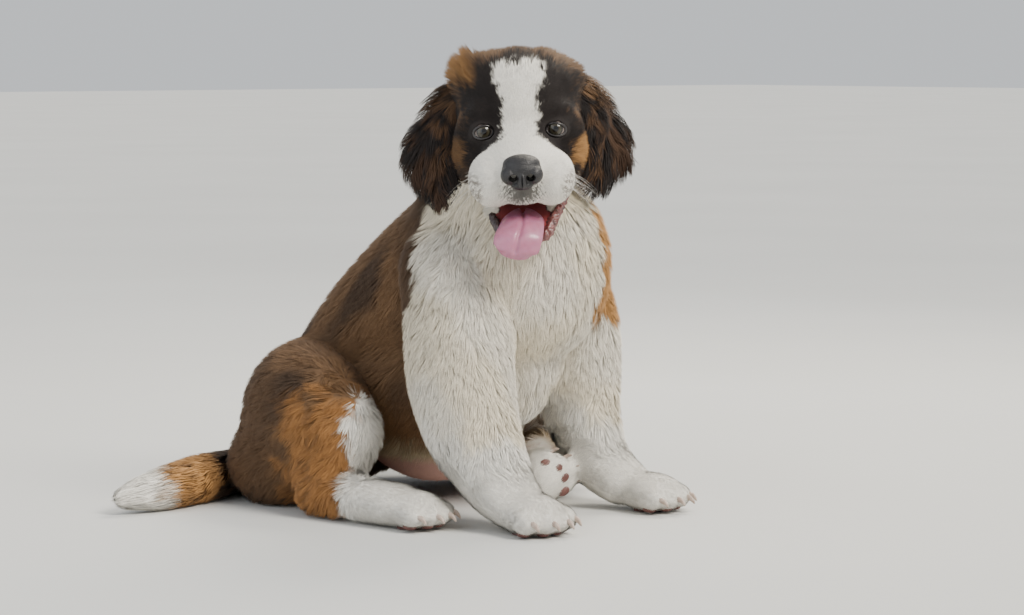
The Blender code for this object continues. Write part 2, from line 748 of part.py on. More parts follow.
def finish_pieces():
    """Gives each piece its finish and shades it smooth."""
    made = {}
    for name, (colour, roughness) in FINISHES.items():
        material = bpy.data.materials.new(name)
        material.use_nodes = True
        surface = material.node_tree.nodes["Principled BSDF"]
        surface.inputs["Base Color"].default_value = (*colour, 1.0)
        surface.inputs["Roughness"].default_value = roughness
        surface.inputs["Metallic"].default_value = 0.0
        material.diffuse_color = (*colour, 1.0)
        made[name] = material
    for body in bpy.data.objects:
        body.data.materials.clear()
        body.data.materials.append(made[FINISH_OF.get(body.name, "white coat")])
        body.data.shade_smooth()


def settle():
    """Moves all so that the middle of the lowest face of the box round it is at the origin."""
    bodies = list(bpy.data.objects)
    corners = [vertex.co for body in bodies for vertex in body.data.vertices]
    low = [min(corner[axis] for corner in corners) for axis in range(3)]
    high = [max(corner[axis] for corner in corners) for axis in range(3)]
    shift = Vector((-(low[0] + high[0]) / 2, -(low[1] + high[1]) / 2, -low[2]))
    for body in bodies:
        body.data.transform(Matrix.Translation(shift))
    return shift


def main():
    """Builds every piece."""
    clear_scene()
    body = make_body()
    head = make_head()
    nose = make_nose(head)
    jaw = carve(make_jaw(head), grown(body, "cutter"))
    tongue = carve(make_tongue(head, jaw), grown(body, "cutter"))
    others = [head, jaw, tongue]
    for side, name in ((-1, "right"), (1, "left")):
        eye = (side * EYE[0], EYE[1], EYE[2])
        Clay(head_place()).ball(eye, [EYE_RADIUS] * 3, splits=EYE_SPLITS).solid("eye_" + name)
        others.append(make_ear("ear_" + name, side, head, body))
    carve(head, grown(body, "cutter"))
    grow_coat(body, body_growth, body_lie, others)
    carve(body, half_space((0, 0, 0), (0, 0, -1)), "DIFFERENCE", "MANIFOLD")
    part_body(body)
    finish_pieces()
    settle()


main()
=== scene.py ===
"""The looks of a sitting Saint Bernard puppy: its skin, coat, face, feet and the studio round it.

Lengths are in metres and colours are linear. Forms are laid out in the puppy's own frame, in which the
trunk stands over X = 0, and the head in one of its own, in which -Y runs out along the muzzle.
"""

import json
import logging
import math
from dataclasses import dataclass, field
from enum import Enum

import bmesh
import bpy
import numpy as np
from mathutils import Matrix, Vector
from mathutils.bvhtree import BVHTree
from mathutils.kdtree import KDTree

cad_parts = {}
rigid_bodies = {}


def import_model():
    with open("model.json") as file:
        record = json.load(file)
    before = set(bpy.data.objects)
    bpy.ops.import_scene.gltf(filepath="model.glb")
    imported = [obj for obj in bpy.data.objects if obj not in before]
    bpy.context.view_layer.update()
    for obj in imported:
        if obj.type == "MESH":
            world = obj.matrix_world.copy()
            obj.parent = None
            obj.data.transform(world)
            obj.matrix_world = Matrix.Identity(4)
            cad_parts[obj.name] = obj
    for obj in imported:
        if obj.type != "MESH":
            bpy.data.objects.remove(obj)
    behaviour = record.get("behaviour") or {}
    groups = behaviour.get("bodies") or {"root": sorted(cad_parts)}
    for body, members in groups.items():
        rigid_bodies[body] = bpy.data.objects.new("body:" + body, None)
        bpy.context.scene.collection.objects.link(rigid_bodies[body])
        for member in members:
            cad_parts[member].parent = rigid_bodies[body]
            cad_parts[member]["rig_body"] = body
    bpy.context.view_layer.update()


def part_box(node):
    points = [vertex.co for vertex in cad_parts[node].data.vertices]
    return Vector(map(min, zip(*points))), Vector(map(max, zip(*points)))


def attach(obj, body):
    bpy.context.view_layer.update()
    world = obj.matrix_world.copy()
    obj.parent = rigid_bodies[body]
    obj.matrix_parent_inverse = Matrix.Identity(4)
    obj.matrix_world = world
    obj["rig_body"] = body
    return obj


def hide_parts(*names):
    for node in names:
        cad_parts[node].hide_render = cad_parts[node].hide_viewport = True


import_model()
log = logging.getLogger("puppy")

Array = np.ndarray
Object = bpy.types.Object
Point = tuple[float, float, float]
Station = tuple[Point, float, float]
Ball = tuple[Point, Point]

HEAD_CENTRE = (-0.0055, -0.1214, 0.4166)
HEAD_TURN = (3.3, -2.3, -39.8)
EYE_CENTRE = (0.0375, -0.0585, 0.0)


class Side(Enum):
    """The puppy's own right and left, as the sign of X."""

    RIGHT = -1
    LEFT = 1

    @property
    def word(self) -> str:
        """The side's name in small letters."""
        return self.name.lower()


class Slot(Enum):
    """The material slots of the record."""

    WHITE = "white_coat"
    BROWN = "brown_coat"
    BLACK = "black_coat"
    TONGUE = "tongue"
    NOSE = "nose_leather"
    EYE = "eye"


def turned(degrees: Point) -> Matrix:
    """A rotation by degrees about X, then Y, then Z."""
    x, y, z = (Matrix.Rotation(math.radians(angle), 4, axis) for angle, axis in zip(degrees, "XYZ"))
    return z @ y @ x


def packed_shift() -> Matrix:
    """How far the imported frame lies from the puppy's own, read at the middle of an eye.

    Returns:
        The shift as a matrix.
    """
    low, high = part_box("eye_right")
    own = Matrix.Translation(HEAD_CENTRE) @ turned(HEAD_TURN) @ Vector((-EYE_CENTRE[0], *EYE_CENTRE[1:]))
    return Matrix.Translation((low + high) / 2 - own)


BODY_PLACE = packed_shift()
HEAD_PLACE = BODY_PLACE @ Matrix.Translation(HEAD_CENTRE) @ turned(HEAD_TURN)


def in_frame(points: Array, place: Matrix) -> Array:
    """World points in the frame that this matrix sets."""
    back = np.array(place.inverted())
    return points @ back[:3, :3].T + back[:3, 3]


def out_of_frame(ways: Array, place: Matrix) -> Array:
    """Directions of a frame as world directions."""
    return ways @ np.array(place)[:3, :3].T


def ease(values: Array, low: float, high: float) -> Array:
    """0 at low, 1 at high, and a smooth step between them, which may also fall from high to low."""
    t = np.clip((values - low) / (high - low), 0.0, 1.0)
    return t * t * (3 - 2 * t)


def unit(ways: Array) -> Array:
    """Rows made one long."""
    return ways / np.maximum(np.linalg.norm(ways, axis=-1, keepdims=True), 1e-12)


def mixed(first: Array, second: Array, share: Array) -> Array:
    """Rows of first turned into second by each row's share."""
    return first + (second - first) * share[:, None]


class Ripples:
    """A smooth seeded field of crossing waves, about 1 strong, for whole arrays of points."""

    def __init__(self, seed: int, size: float, waves: int = 20) -> None:
        """Draws the waves.

        Args:
            seed: what the draw starts from.
            size: the length of a wave.
            waves: how many waves cross.
        """
        draw = np.random.default_rng(seed)
        self.ways = unit(draw.normal(size=(waves, 3))) * draw.uniform(0.7, 1.4, (waves, 1)) * math.tau / size
        self.phases = draw.uniform(0, math.tau, waves)

    def at(self, points: Array) -> Array:
        """The field's value at each point."""
        return np.sin(points @ self.ways.T + self.phases).sum(1) * math.sqrt(2 / len(self.phases))


def link(name: str, mesh: bpy.types.Mesh) -> Object:
    """A new object of this mesh in the scene.

    Args:
        name: what it is called.
        mesh: its mesh.

    Returns:
        The object.
    """
    made = bpy.data.objects.new(name, mesh)
    bpy.context.scene.collection.objects.link(made)
    return made


def apply_modifiers(body: Object) -> None:
    """Replaces the object's mesh with what its modifiers make of it.

    Args:
        body: the object.
    """
    graph = bpy.context.evaluated_depsgraph_get()
    graph.update()
    mesh = bpy.data.meshes.new_from_object(body.evaluated_get(graph))
    body.modifiers.clear()
    body.data = mesh


def carve(body: Object, cutter: Object, operation: str = "DIFFERENCE") -> Object:
    """Cuts or joins body with cutter, which is used up.

    Args:
        body: what is changed.
        cutter: the form that cuts it or joins it.
        operation: the Boolean's kind.

    Returns:
        The body.
    """
    change = body.modifiers.new("Carve", "BOOLEAN")
    change.operation = operation
    change.solver = "MANIFOLD"
    change.object = cutter
    apply_modifiers(body)
    bpy.data.objects.remove(cutter)
    return body


def places(mesh: bpy.types.Mesh) -> Array:
    """The vertices of a mesh as rows.

    Args:
        mesh: the mesh.

    Returns:
        One row a vertex.
    """
    found = np.empty(len(mesh.vertices) * 3, np.float32)
    mesh.vertices.foreach_get("co", found)
    return found.reshape(-1, 3).astype(float)


def normals(mesh: bpy.types.Mesh) -> Array:
    """The vertex normals of a mesh as rows.

    Args:
        mesh: the mesh.

    Returns:
        One row a vertex.
    """
    found = np.empty(len(mesh.vertices) * 3, np.float32)
    mesh.vertex_normals.foreach_get("vector", found)
    return found.reshape(-1, 3).astype(float)


def move_to(mesh: bpy.types.Mesh, points: Array) -> None:
    """Sets the vertices of a mesh."""
    mesh.vertices.foreach_set("co", points.astype(np.float32).ravel())
    mesh.update()


def tree_of(body: Object) -> BVHTree:
    """A search tree of the object's faces."""
    return BVHTree.FromPolygons([v.co for v in body.data.vertices], [p.vertices for p in body.data.polygons])


def nearest(tree: BVHTree, points: Array) -> tuple[Array, Array, Array]:
    """The nearest surface point, its normal and its distance, for each point.

    Args:
        tree: the surface's search tree.
        points: what to search from.

    Returns:
        The points on the surface, the normals there, and the distances.
    """
    found = [tree.find_nearest(point) for point in points.tolist()]
    on = np.array([row[0] for row in found]).reshape(-1, 3)
    up = np.array([row[1] for row in found]).reshape(-1, 3)
    return on, up, np.array([row[3] for row in found])


def colour_on(mesh: bpy.types.Mesh, name: str, colours: Array) -> None:
    """Keeps a colour for each vertex under this name.

    Args:
        mesh: the mesh.
        name: the layer's name.
        colours: one row a vertex.
    """
    layer = mesh.color_attributes.new(name, "FLOAT_COLOR", "POINT")
    rows = np.concatenate([np.clip(colours, 0, 1), np.ones((len(colours), 1))], 1)
    layer.data.foreach_set("color", rows.astype(np.float32).ravel())


class Clay:
    """Closed forms that overlap, kept in one bmesh until they are fused into one smooth surface."""

    ring_sides = 32
    rings_in_span = 6
    cap_rings = 6
    ball_splits = 4

    def __init__(self, place: Matrix) -> None:
        """Starts with no forms, in this frame."""
        self.forms = bmesh.new()
        self.place = place

    def ball(self, form: Ball, turn: Point = (0, 0, 0), place: Matrix | None = None) -> "Clay":
        """Adds an ellipsoid.

        Args:
            form: its centre and half sizes.
            turn: degrees about X, Y and Z.
            place: a frame within the clay's own, such as a paw's.

        Returns:
            The clay itself.
        """
        own = self.place @ (place or Matrix())
        matrix = own @ Matrix.Translation(form[0]) @ turned(turn) @ Matrix.Diagonal((*form[1], 1))
        bmesh.ops.create_icosphere(self.forms, subdivisions=self.ball_splits, radius=1, matrix=matrix)
        return self

    def pair(self, form: Ball) -> "Clay":
        """Adds the same ellipsoid on both sides of X = 0.

        Args:
            form: centre and half sizes of the one on the left.

        Returns:
            The clay itself.
        """
        (x, y, z), half = form
        for side in Side:
            self.ball(((side.value * x, y, z), half))
        return self

    def limb(self, stations: tuple[Station, ...], side: Point = (1, 0, 0), cup: float = 0.0) -> "Clay":
        """Adds a bent tube of oval section with round ends.

        Args:
            stations: centres along it, each with half a width and half a depth.
            side: the way its width runs.
            cup: how far its edges curl in.

        Returns:
            The clay itself.
        """
        path = self.smooth_path(stations)
        rings = []
        for i, row in enumerate(path):
            along = (path[min(i + 1, len(path) - 1)][:3] - path[max(i - 1, 0)][:3])
            rings.append((row[:3], row[3], row[4], Vector(along).normalized()))
        first, last = rings[0], rings[-1]
        for k in range(1, self.cap_rings):
            angle = math.pi / 2 * k / self.cap_rings
            for (centre, wide, deep, along), way in ((first, -1), (last, 1)):
                reach = way * min(wide, deep) * math.sin(angle)
                less = math.cos(angle)
                cap = (centre + np.array(along) * reach, wide * less, deep * less, along)
                rings.insert(0 if way < 0 else len(rings), cap)
        loops = [self.ring(Vector(side), cup, *row) for row in rings]
        for low, high in zip(loops, loops[1:]):
            for k in range(self.ring_sides):
                after = (k + 1) % self.ring_sides
                self.forms.faces.new((low[k], low[after], high[after], high[k]))
        self.forms.faces.new(reversed(loops[0]))
        self.forms.faces.new(loops[-1])
        return self

    def smooth_path(self, stations: tuple[Station, ...]) -> Array:
        """Rows of centre, half width and half depth on a Catmull-Rom curve through the stations.

        Args:
            stations: what the curve runs through.

        Returns:
            The rows, closer together than the stations.
        """
        rows = np.array([(*centre, wide, deep) for centre, wide, deep in stations])
        rows = np.concatenate([[2 * rows[0] - rows[1]], rows, [2 * rows[-1] - rows[-2]]])
        path = []
        for a, b, c, d in zip(rows, rows[1:], rows[2:], rows[3:]):
            for t in np.arange(self.rings_in_span) / self.rings_in_span:
                bend = (2 * a - 5 * b + 4 * c - d) * t**2 + (3 * b - a - 3 * c + d) * t**3
                path.append(0.5 * (2 * b + (c - a) * t + bend))
        return np.array([*path, rows[-2]])

    def ring(self, side: Vector, cup: float, centre: Array, wide: float, deep: float, along: Vector) -> list:
        """One oval loop of vertices round the centre.

        Args:
            side: the way the width runs.
            cup: how far the edges curl in.
            centre: its middle.
            wide: half its width.
            deep: half its depth.
            along: the way the tube runs there.

        Returns:
            The vertices in order.
        """
        across = (side - along * along.dot(side)).normalized()
        over = along.cross(across)
        loop = []
        for k in range(self.ring_sides):
            angle = math.tau * k / self.ring_sides
            lift = deep * math.sin(angle) + cup * wide * math.cos(angle) ** 2
            point = Vector(centre) + across * wide * math.cos(angle) + over * lift
            loop.append(self.forms.verts.new(self.place @ point))
        return loop

    def solid(self, name: str) -> Object:
        """The forms as one object, each still a closed body of its own.

        Args:
            name: what it is called.

        Returns:
            The object.
        """
        bmesh.ops.recalc_face_normals(self.forms, faces=self.forms.faces)
        mesh = bpy.data.meshes.new(name)
        self.forms.to_mesh(mesh)
        self.forms.free()
        return link(name, mesh)

    def fuse(self, name: str, voxel: float, rounds: int) -> Object:
        """The forms as one surface, remeshed at this size and smoothed this often.

        Args:
            name: what it is called.
            voxel: the remesh's grain.
            rounds: how often it is smoothed.

        Returns:
            The object.
        """
        body = self.solid(name)
        remesh = body.modifiers.new("Fuse", "REMESH")
        remesh.mode = "VOXEL"
        remesh.voxel_size = voxel
        smooth = body.modifiers.new("Blend", "SMOOTH")
        smooth.factor = 0.5
        smooth.iterations = rounds
        apply_modifiers(body)
        return body


class Graph:
    """A material's nodes, added and joined in short calls."""

    def __init__(self, name: str) -> None:
        """Starts a material with its Principled shader.

        Args:
            name: what the material is called.
        """
        self.material = bpy.data.materials.new(name)
        self.material.use_nodes = True
        self.nodes = self.material.node_tree.nodes
        self.shader = self.nodes["Principled BSDF"]

    def add(self, kind: str, inputs: dict[str, object], **settings: object) -> bpy.types.Node:
        """Adds a node.

        Args:
            kind: its type.
            inputs: for each socket, a value, or another node's output to join to it.
            settings: the node's own properties.

        Returns:
            The node.
        """
        node = self.nodes.new(kind)
        for name, value in settings.items():
            setattr(node, name, value)
        self.feed(node, inputs)
        return node

    def feed(self, node: bpy.types.Node, inputs: dict[str, object]) -> None:
        """Sets or joins sockets of a node.

        Args:
            node: the node.
            inputs: for each socket, a value, or another node's output to join to it.
        """
        for name, value in inputs.items():
            socket = node.inputs[name]
            if isinstance(value, bpy.types.NodeSocket):
                self.material.node_tree.links.new(value, socket)
            else:
                socket.default_value = value

    def noise(self, where: bpy.types.NodeSocket, size: float, detail: float = 3.0) -> bpy.types.NodeSocket:
        """Noise with grains about this large."""
        inputs = {"Vector": where, "Scale": 1 / size, "Detail": detail}
        return self.add("ShaderNodeTexNoise", inputs).outputs["Fac"]

    def spread(self, value: bpy.types.NodeSocket, low: float, high: float) -> bpy.types.NodeSocket:
        """A value from 0 to 1 taken to between low and high."""
        inputs = {"Value": value, "To Min": low, "To Max": high}
        return self.add("ShaderNodeMapRange", inputs).outputs["Result"]

    def grey(self, value: bpy.types.NodeSocket) -> bpy.types.NodeSocket:
        """A grey as bright as this value."""
        inputs = {"Red": value, "Green": value, "Blue": value}
        return self.add("ShaderNodeCombineColor", inputs).outputs["Color"]

    def bump(self, height: bpy.types.NodeSocket, depth: float) -> None:
        """Raises the surface by height, at most this deep."""
        made = self.add("ShaderNodeBump", {"Height": height, "Distance": depth, "Strength": 1.0})
        self.feed(self.shader, {"Normal": made.outputs["Normal"]})

    def mix(self, first: object, second: object, share: object, blend: str = "MIX") -> bpy.types.NodeSocket:
        """Two colours mixed, each a socket or a linear colour.

        Args:
            first: the colour at a share of 0.
            second: the colour at a share of 1.
            share: how much of the second there is.
            blend: how they are mixed.

        Returns:
            The mixed colour.
        """
        node = self.nodes.new("ShaderNodeMix")
        node.data_type = "RGBA"
        node.blend_type = blend
        sockets = [s for s in node.inputs if s.enabled]
        for socket, value in zip(sockets, (share, first, second)):
            if isinstance(value, bpy.types.NodeSocket):
                self.material.node_tree.links.new(value, socket)
            else:
                socket.default_value = value if isinstance(value, float) else (*value, 1.0)
        return [s for s in node.outputs if s.enabled][0]

    def place(self) -> bpy.types.NodeSocket:
        """The piece's own coordinates."""
        return self.add("ShaderNodeTexCoord", {}).outputs["Object"]


@dataclass(frozen=True)
class Finish:
    """A finish of one thing: two shades mottled together, with grain in its gloss and its surface."""

    name: str
    colour: Point
    other: Point
    mottle: float
    grain: float
    roughness: tuple[float, float]
    depth: float
    wet: float = 0.0
    flesh: float = 0.0
    flesh_reach: float = 0.002
    pebbled: bool = False

    def material(self) -> bpy.types.Material:
        """Lays out the two shades and the grain.

        Returns:
            The finish as a material.
        """
        graph = Graph(self.name)
        place = graph.place()
        mottle = graph.spread(graph.noise(place, self.mottle), -0.6, 1.6)
        graph.feed(graph.shader, {"Base Color": graph.mix(self.colour, self.other, mottle)})
        grain = graph.noise(place, self.grain)
        if self.pebbled:
            cells = graph.add("ShaderNodeTexVoronoi", {"Vector": place, "Scale": 1 / self.grain})
            grain = graph.spread(cells.outputs["Distance"], 1.0, 0.0)
        graph.feed(graph.shader, {"Roughness": graph.spread(grain, *self.roughness)})
        graph.bump(grain, self.depth)
        self.set_gloss(graph)
        return graph.material

    def set_gloss(self, graph: Graph) -> None:
        """Sets what is the same all over on the shader's own sockets.

        Args:
            graph: the material's nodes.
        """
        graph.feed(graph.shader, {
            "Coat Weight": self.wet,
            "Coat Roughness": 0.12,
            "Subsurface Weight": self.flesh,
            "Subsurface Scale": self.flesh_reach,
            "Metallic": 0.0,
        })


@dataclass(frozen=True)
class CoatFinish:
    """The finish of skin or fur, whose markings and painted shade are kept on its mesh."""

    name: str
    layer: str = "markings"
    grain: float = 0.0016
    roughness: tuple[float, float] = (0.55, 0.82)
    depth: float = 0.0004
    sheen: float = 0.05

    def material(self) -> bpy.types.Material:
        """Lays out the markings, with their painted shade, and the grain.

        Returns:
            The finish as a material.
        """
        graph = Graph(self.name)
        place = graph.place()
        grain = graph.noise(place, self.grain)
        own = graph.add("ShaderNodeVertexColor", {}, layer_name=self.layer).outputs["Color"]
        shades = graph.grey(graph.spread(grain, 0.78, 1.18))
        graph.feed(graph.shader, {"Base Color": graph.mix(own, shades, 1.0, "MULTIPLY")})
        graph.feed(graph.shader, {"Roughness": graph.spread(grain, *self.roughness)})
        graph.bump(grain, self.depth)
        graph.feed(graph.shader, {
            "Sheen Weight": self.sheen,
            "Sheen Roughness": 0.5,
            "Specular IOR Level": 0.16,
            "Metallic": 0.0,
        })
        return graph.material


def finish_piece(piece: Object, material: bpy.types.Material, smooth: bool = True) -> Object:
    """Dresses a piece and sets it on the one body.

    Args:
        piece: the object.
        material: what it wears.
        smooth: whether it is shaded smooth.

    Returns:
        The piece.
    """
    piece.data.materials.clear()
    piece.data.materials.append(material)
    if smooth:
        piece.data.shade_smooth()
    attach(piece, "root")
    log.info("%s: %d faces", piece.name, len(piece.data.polygons))
    return piece


@dataclass(frozen=True)
class Paw:
    """One paw: where it is, the way its toes point, the way its back faces, and its size."""

    centre: Point
    way: Point
    back: Point
    size: float
    pad: Ball = ((0, 0, 0), (0.036, 0.038, 0.024))
    toe_half: Point = (0.0125, 0.020, 0.015)
    spread: tuple[float, ...] = (-0.0285, -0.0095, 0.0095, 0.0285)
    reach: tuple[float, ...] = (0.018, 0.028, 0.028, 0.018)
    drop: float = 0.004

    def place(self) -> Matrix:
        """The paw's own frame, its toes pointing to -Y.

        Returns:
            The frame as a matrix.
        """
        way = Vector(self.way).normalized()
        side = way.cross(Vector(self.back)).normalized()
        turn = Matrix((-side, -way, side.cross(way))).transposed().to_4x4()
        return Matrix.Translation(self.centre) @ turn @ Matrix.Scale(self.size, 4)

    def shape(self, clay: Clay) -> None:
        """Adds the pad and its four toes to the clay.

        Args:
            clay: what they are added to.
        """
        clay.ball(self.pad, place=self.place())
        for spread, reach in zip(self.spread, self.reach):
            clay.ball(((spread, -reach, -self.drop), self.toe_half), place=self.place())


@dataclass
class Body:
    """The puppy behind its head, as smooth as it is under its coat."""

    voxel: float = 0.0027
    rounds: int = 44
    trunk: tuple[Station, ...] = (
        ((0.000, 0.186, 0.074), 0.092, 0.070),
        ((0.000, 0.148, 0.112), 0.101, 0.092),
        ((0.000, 0.084, 0.170), 0.100, 0.100),
        ((0.000, 0.006, 0.228), 0.093, 0.102),
        ((0.000, -0.066, 0.280), 0.087, 0.096),
        ((0.000, -0.098, 0.330), 0.078, 0.080),
    )
    belly: Ball = ((-0.008, 0.020, 0.120), (0.098, 0.105, 0.100))
    forechest: Ball = ((0.008, -0.112, 0.268), (0.096, 0.092, 0.108))
    brisket: Ball = ((0.006, -0.092, 0.180), (0.060, 0.058, 0.078))
    neck: tuple[Station, ...] = (
        ((0.000, -0.072, 0.300), 0.090, 0.092),
        ((-0.003, -0.096, 0.350), 0.078, 0.080),
        ((-0.006, -0.098, 0.384), 0.062, 0.064),
    )
    forelegs: tuple[tuple[Station, ...], ...] = (
        (
            ((-0.072, -0.075, 0.270), 0.044, 0.056),
            ((-0.084, -0.112, 0.215), 0.052, 0.062),
            ((-0.092, -0.130, 0.150), 0.055, 0.058),
            ((-0.090, -0.150, 0.095), 0.049, 0.050),
            ((-0.084, -0.178, 0.050), 0.040, 0.038),
            ((-0.080, -0.205, 0.028), 0.038, 0.027),
        ),
        (
            ((0.070, -0.068, 0.270), 0.044, 0.055),
            ((0.088, -0.092, 0.215), 0.050, 0.056),
            ((0.096, -0.100, 0.150), 0.046, 0.050),
            ((0.095, -0.110, 0.098), 0.041, 0.043),
            ((0.104, -0.128, 0.050), 0.034, 0.034),
            ((0.112, -0.158, 0.028), 0.035, 0.026),
        ),
    )
    hind_limbs: tuple[tuple[Station, ...], ...] = (
        (
            ((-0.086, 0.148, 0.092), 0.066, 0.084),
            ((-0.128, 0.099, 0.090), 0.068, 0.087),
            ((-0.148, 0.034, 0.092), 0.055, 0.074),
            ((-0.152, -0.004, 0.088), 0.042, 0.052),
        ),
        (
            ((-0.150, -0.006, 0.092), 0.038, 0.042),
            ((-0.162, 0.008, 0.050), 0.036, 0.040),
            ((-0.168, 0.006, 0.030), 0.034, 0.034),
        ),
        (
            ((-0.170, 0.012, 0.028), 0.030, 0.030),
            ((-0.164, -0.045, 0.024), 0.030, 0.026),
            ((-0.152, -0.100, 0.022), 0.036, 0.024),
        ),
        (
            ((0.078, 0.145, 0.092), 0.062, 0.080),
            ((0.112, 0.088, 0.084), 0.064, 0.080),
            ((0.145, 0.020, 0.070), 0.050, 0.060),
            ((0.158, -0.008, 0.060), 0.040, 0.046),
        ),
        (
            ((0.155, -0.006, 0.058), 0.038, 0.040),
            ((0.122, -0.022, 0.042), 0.034, 0.036),
            ((0.088, -0.040, 0.034), 0.030, 0.032),
        ),
        (
            ((0.088, -0.042, 0.032), 0.028, 0.030),
            ((0.062, -0.075, 0.032), 0.024, 0.030),
            ((0.036, -0.108, 0.034), 0.024, 0.032),
        ),
    )
    haunch: Ball = ((-0.140, 0.112, 0.046), (0.064, 0.072, 0.056))
    tail: tuple[Station, ...] = (
        ((0.000, 0.190, 0.042), 0.034, 0.034),
        ((-0.070, 0.222, 0.026), 0.028, 0.026),
        ((-0.142, 0.212, 0.023), 0.026, 0.023),
        ((-0.212, 0.178, 0.024), 0.027, 0.025),
        ((-0.275, 0.153, 0.023), 0.023, 0.021),
        ((-0.322, 0.150, 0.019), 0.013, 0.012),
    )
    paws: dict[str, Paw] = field(default_factory=lambda: {
        "forepaw_right": Paw((-0.078, -0.228, 0.020), (0.05, -1.0, 0.0), (0, 0, 1), 1.0),
        "forepaw_left": Paw((0.122, -0.192, 0.020), (0.25, -1.0, 0.0), (0, 0, 1), 0.95),
        "hindfoot_right": Paw((-0.148, -0.122, 0.020), (0.20, -1.0, 0.0), (0, 0, 1), 0.92),
        "hindfoot_left": Paw((0.040, -0.106, 0.032), (0.50, -0.36, 0.42), (0.45, 0.75, 0.35), 0.80),
    })
    tail_back: float = 0.18
    lowest: float = 0.0015

    def build(self, coat: "BodyCoat") -> Object:
        """The surface of the bare body, lying under its forms by the coat's depth.

        Args:
            coat: the coat that grows on it.

        Returns:
            The body.
        """
        clay = Clay(BODY_PLACE)
        clay.limb(self.trunk).limb(self.neck).limb(self.tail)
        clay.ball(self.belly).ball(self.forechest).ball(self.brisket).ball(self.haunch)
        for stations in (*self.forelegs, *self.hind_limbs):
            clay.limb(stations)
        for paw in self.paws.values():
            paw.shape(clay)
        body = clay.fuse("body", self.voxel, self.rounds)
        points = places(body.data)
        own = in_frame(points, BODY_PLACE)
        depth = coat.field(own).sink
        points = points - normals(body.data) * depth[:, None]
        points[:, 2] = np.maximum(points[:, 2], self.lowest)
        move_to(body.data, points)
        return body

    def on_tail(self, own: Array) -> Array:
        """How surely each point is on the tail, from 0 to 1.

        Args:
            own: points in the body's own frame.

        Returns:
            One share a point.
        """
        path = np.array([row[0] for row in self.tail])
        thick = np.array([max(row[1:]) for row in self.tail])
        knots = np.linspace(0, len(path) - 1, 60)
        spots = np.stack([np.interp(knots, range(len(path)), path[:, k]) for k in range(3)], 1)
        thick = np.interp(knots, range(len(path)), thick)
        gaps = (np.linalg.norm(own[:, None] - spots[None], axis=2) / thick[None]).min(1)
        close = ease(gaps, 1.20, 1.02) * ease(own[:, 1], self.tail_back - 0.06, self.tail_back)
        return np.maximum(close, ease(own[:, 0], -0.213, -0.222))

    def tail_lie(self, own: Array) -> Array:
        """The way along the tail at each point.

        Args:
            own: points in the body's own frame.

        Returns:
            One direction a point.
        """
        path = np.array([row[0] for row in self.tail])
        middles = (path[1:] + path[:-1]) / 2
        ways = unit(path[1:] - path[:-1])
        gaps = np.linalg.norm(own[:, None] - middles[None], axis=2)
        shares = np.exp(-((gaps / 0.05) ** 2)) + 1e-9
        return unit((shares[:, :, None] * ways[None]).sum(1))


@dataclass
class Lay:
    """What the coat is like at each of some points, one row a point."""

    sink: Array  # how deep the skin lies under the form
    rise: Array  # how far the tips stand over the form
    length: Array
    width: Array
    apart: Array  # distance from one tuft to the next
    wave: Array  # radians by which the lie swings in waves
    clump: Array  # how far tips draw together, from 0 to 1
    follow: Array  # how closely tufts keep to the body, from 0 to 1
    lie: Array
    colour: Array

    @staticmethod
    def of(coat: "AnyCoat", own: Array, lie: Array, values: dict[str, Array]) -> "Lay":
        """The coat at some points, each tuft with the colour that belongs at its middle."""
        middle = own + lie * (0.45 * values["length"])[:, None]
        return Lay(**values, lie=lie, colour=coat.markings(middle))

    def at(self, rows: Array) -> "Lay":
        """The same at some of the points."""
        return Lay(**{name: values[rows] for name, values in vars(self).items()})


@dataclass(frozen=True)
class Pelt:
    """A kind of coat, in metres: the depth under and over the form, and the tufts."""

    sink: float
    rise: float
    length: float
    width: float
    apart: float
    wave: float
    clump: float
    follow: float = 1.0

    @staticmethod
    def blend(pelts: list["Pelt"], shares: Array) -> dict[str, Array]:
        """Each value of these pelts, mixed by shares with one row a point and one column a pelt.

        Args:
            pelts: the kinds of coat.
            shares: how much of each there is.

        Returns:
            The mixed values by name.
        """
        shares = shares / shares.sum(1, keepdims=True)
        names = ("sink", "rise", "length", "width", "apart", "wave", "clump", "follow")
        return {name: shares @ np.array([getattr(pelt, name) for pelt in pelts]) for name in names}


@dataclass(frozen=True)
class Shades:
    """The colours of the coat and of bare skin."""

    white: Point = (0.87, 0.83, 0.75)
    cream: Point = (0.84, 0.70, 0.46)
    tan: Point = (0.50, 0.255, 0.090)
    orange: Point = (0.36, 0.165, 0.054)
    brown: Point = (0.170, 0.095, 0.047)
    umber: Point = (0.068, 0.041, 0.025)
    black: Point = (0.016, 0.012, 0.011)
    ear: Point = (0.050, 0.026, 0.015)
    pink: Point = (0.62, 0.33, 0.29)
    mouth: Point = (0.22, 0.035, 0.035)
    lip: Point = (0.035, 0.020, 0.022)


SHADES = Shades()


class AnyCoat:
    """What every kind of coat can be asked for."""

    def field(self, own: Array) -> Lay:
        """All that the coat is at points of its own frame."""
        raise NotImplementedError

    def markings(self, own: Array) -> Array:
        """The colour of the coat at each point."""
        raise NotImplementedError

    def bald(self, own: Array) -> Array:
        """Whether nothing grows at a point."""
        return np.zeros(len(own), bool)

    def bare_colour(self, own: Array, colours: Array) -> Array:
        """The colour of the skin at each point, given that of its coat."""
        return colours


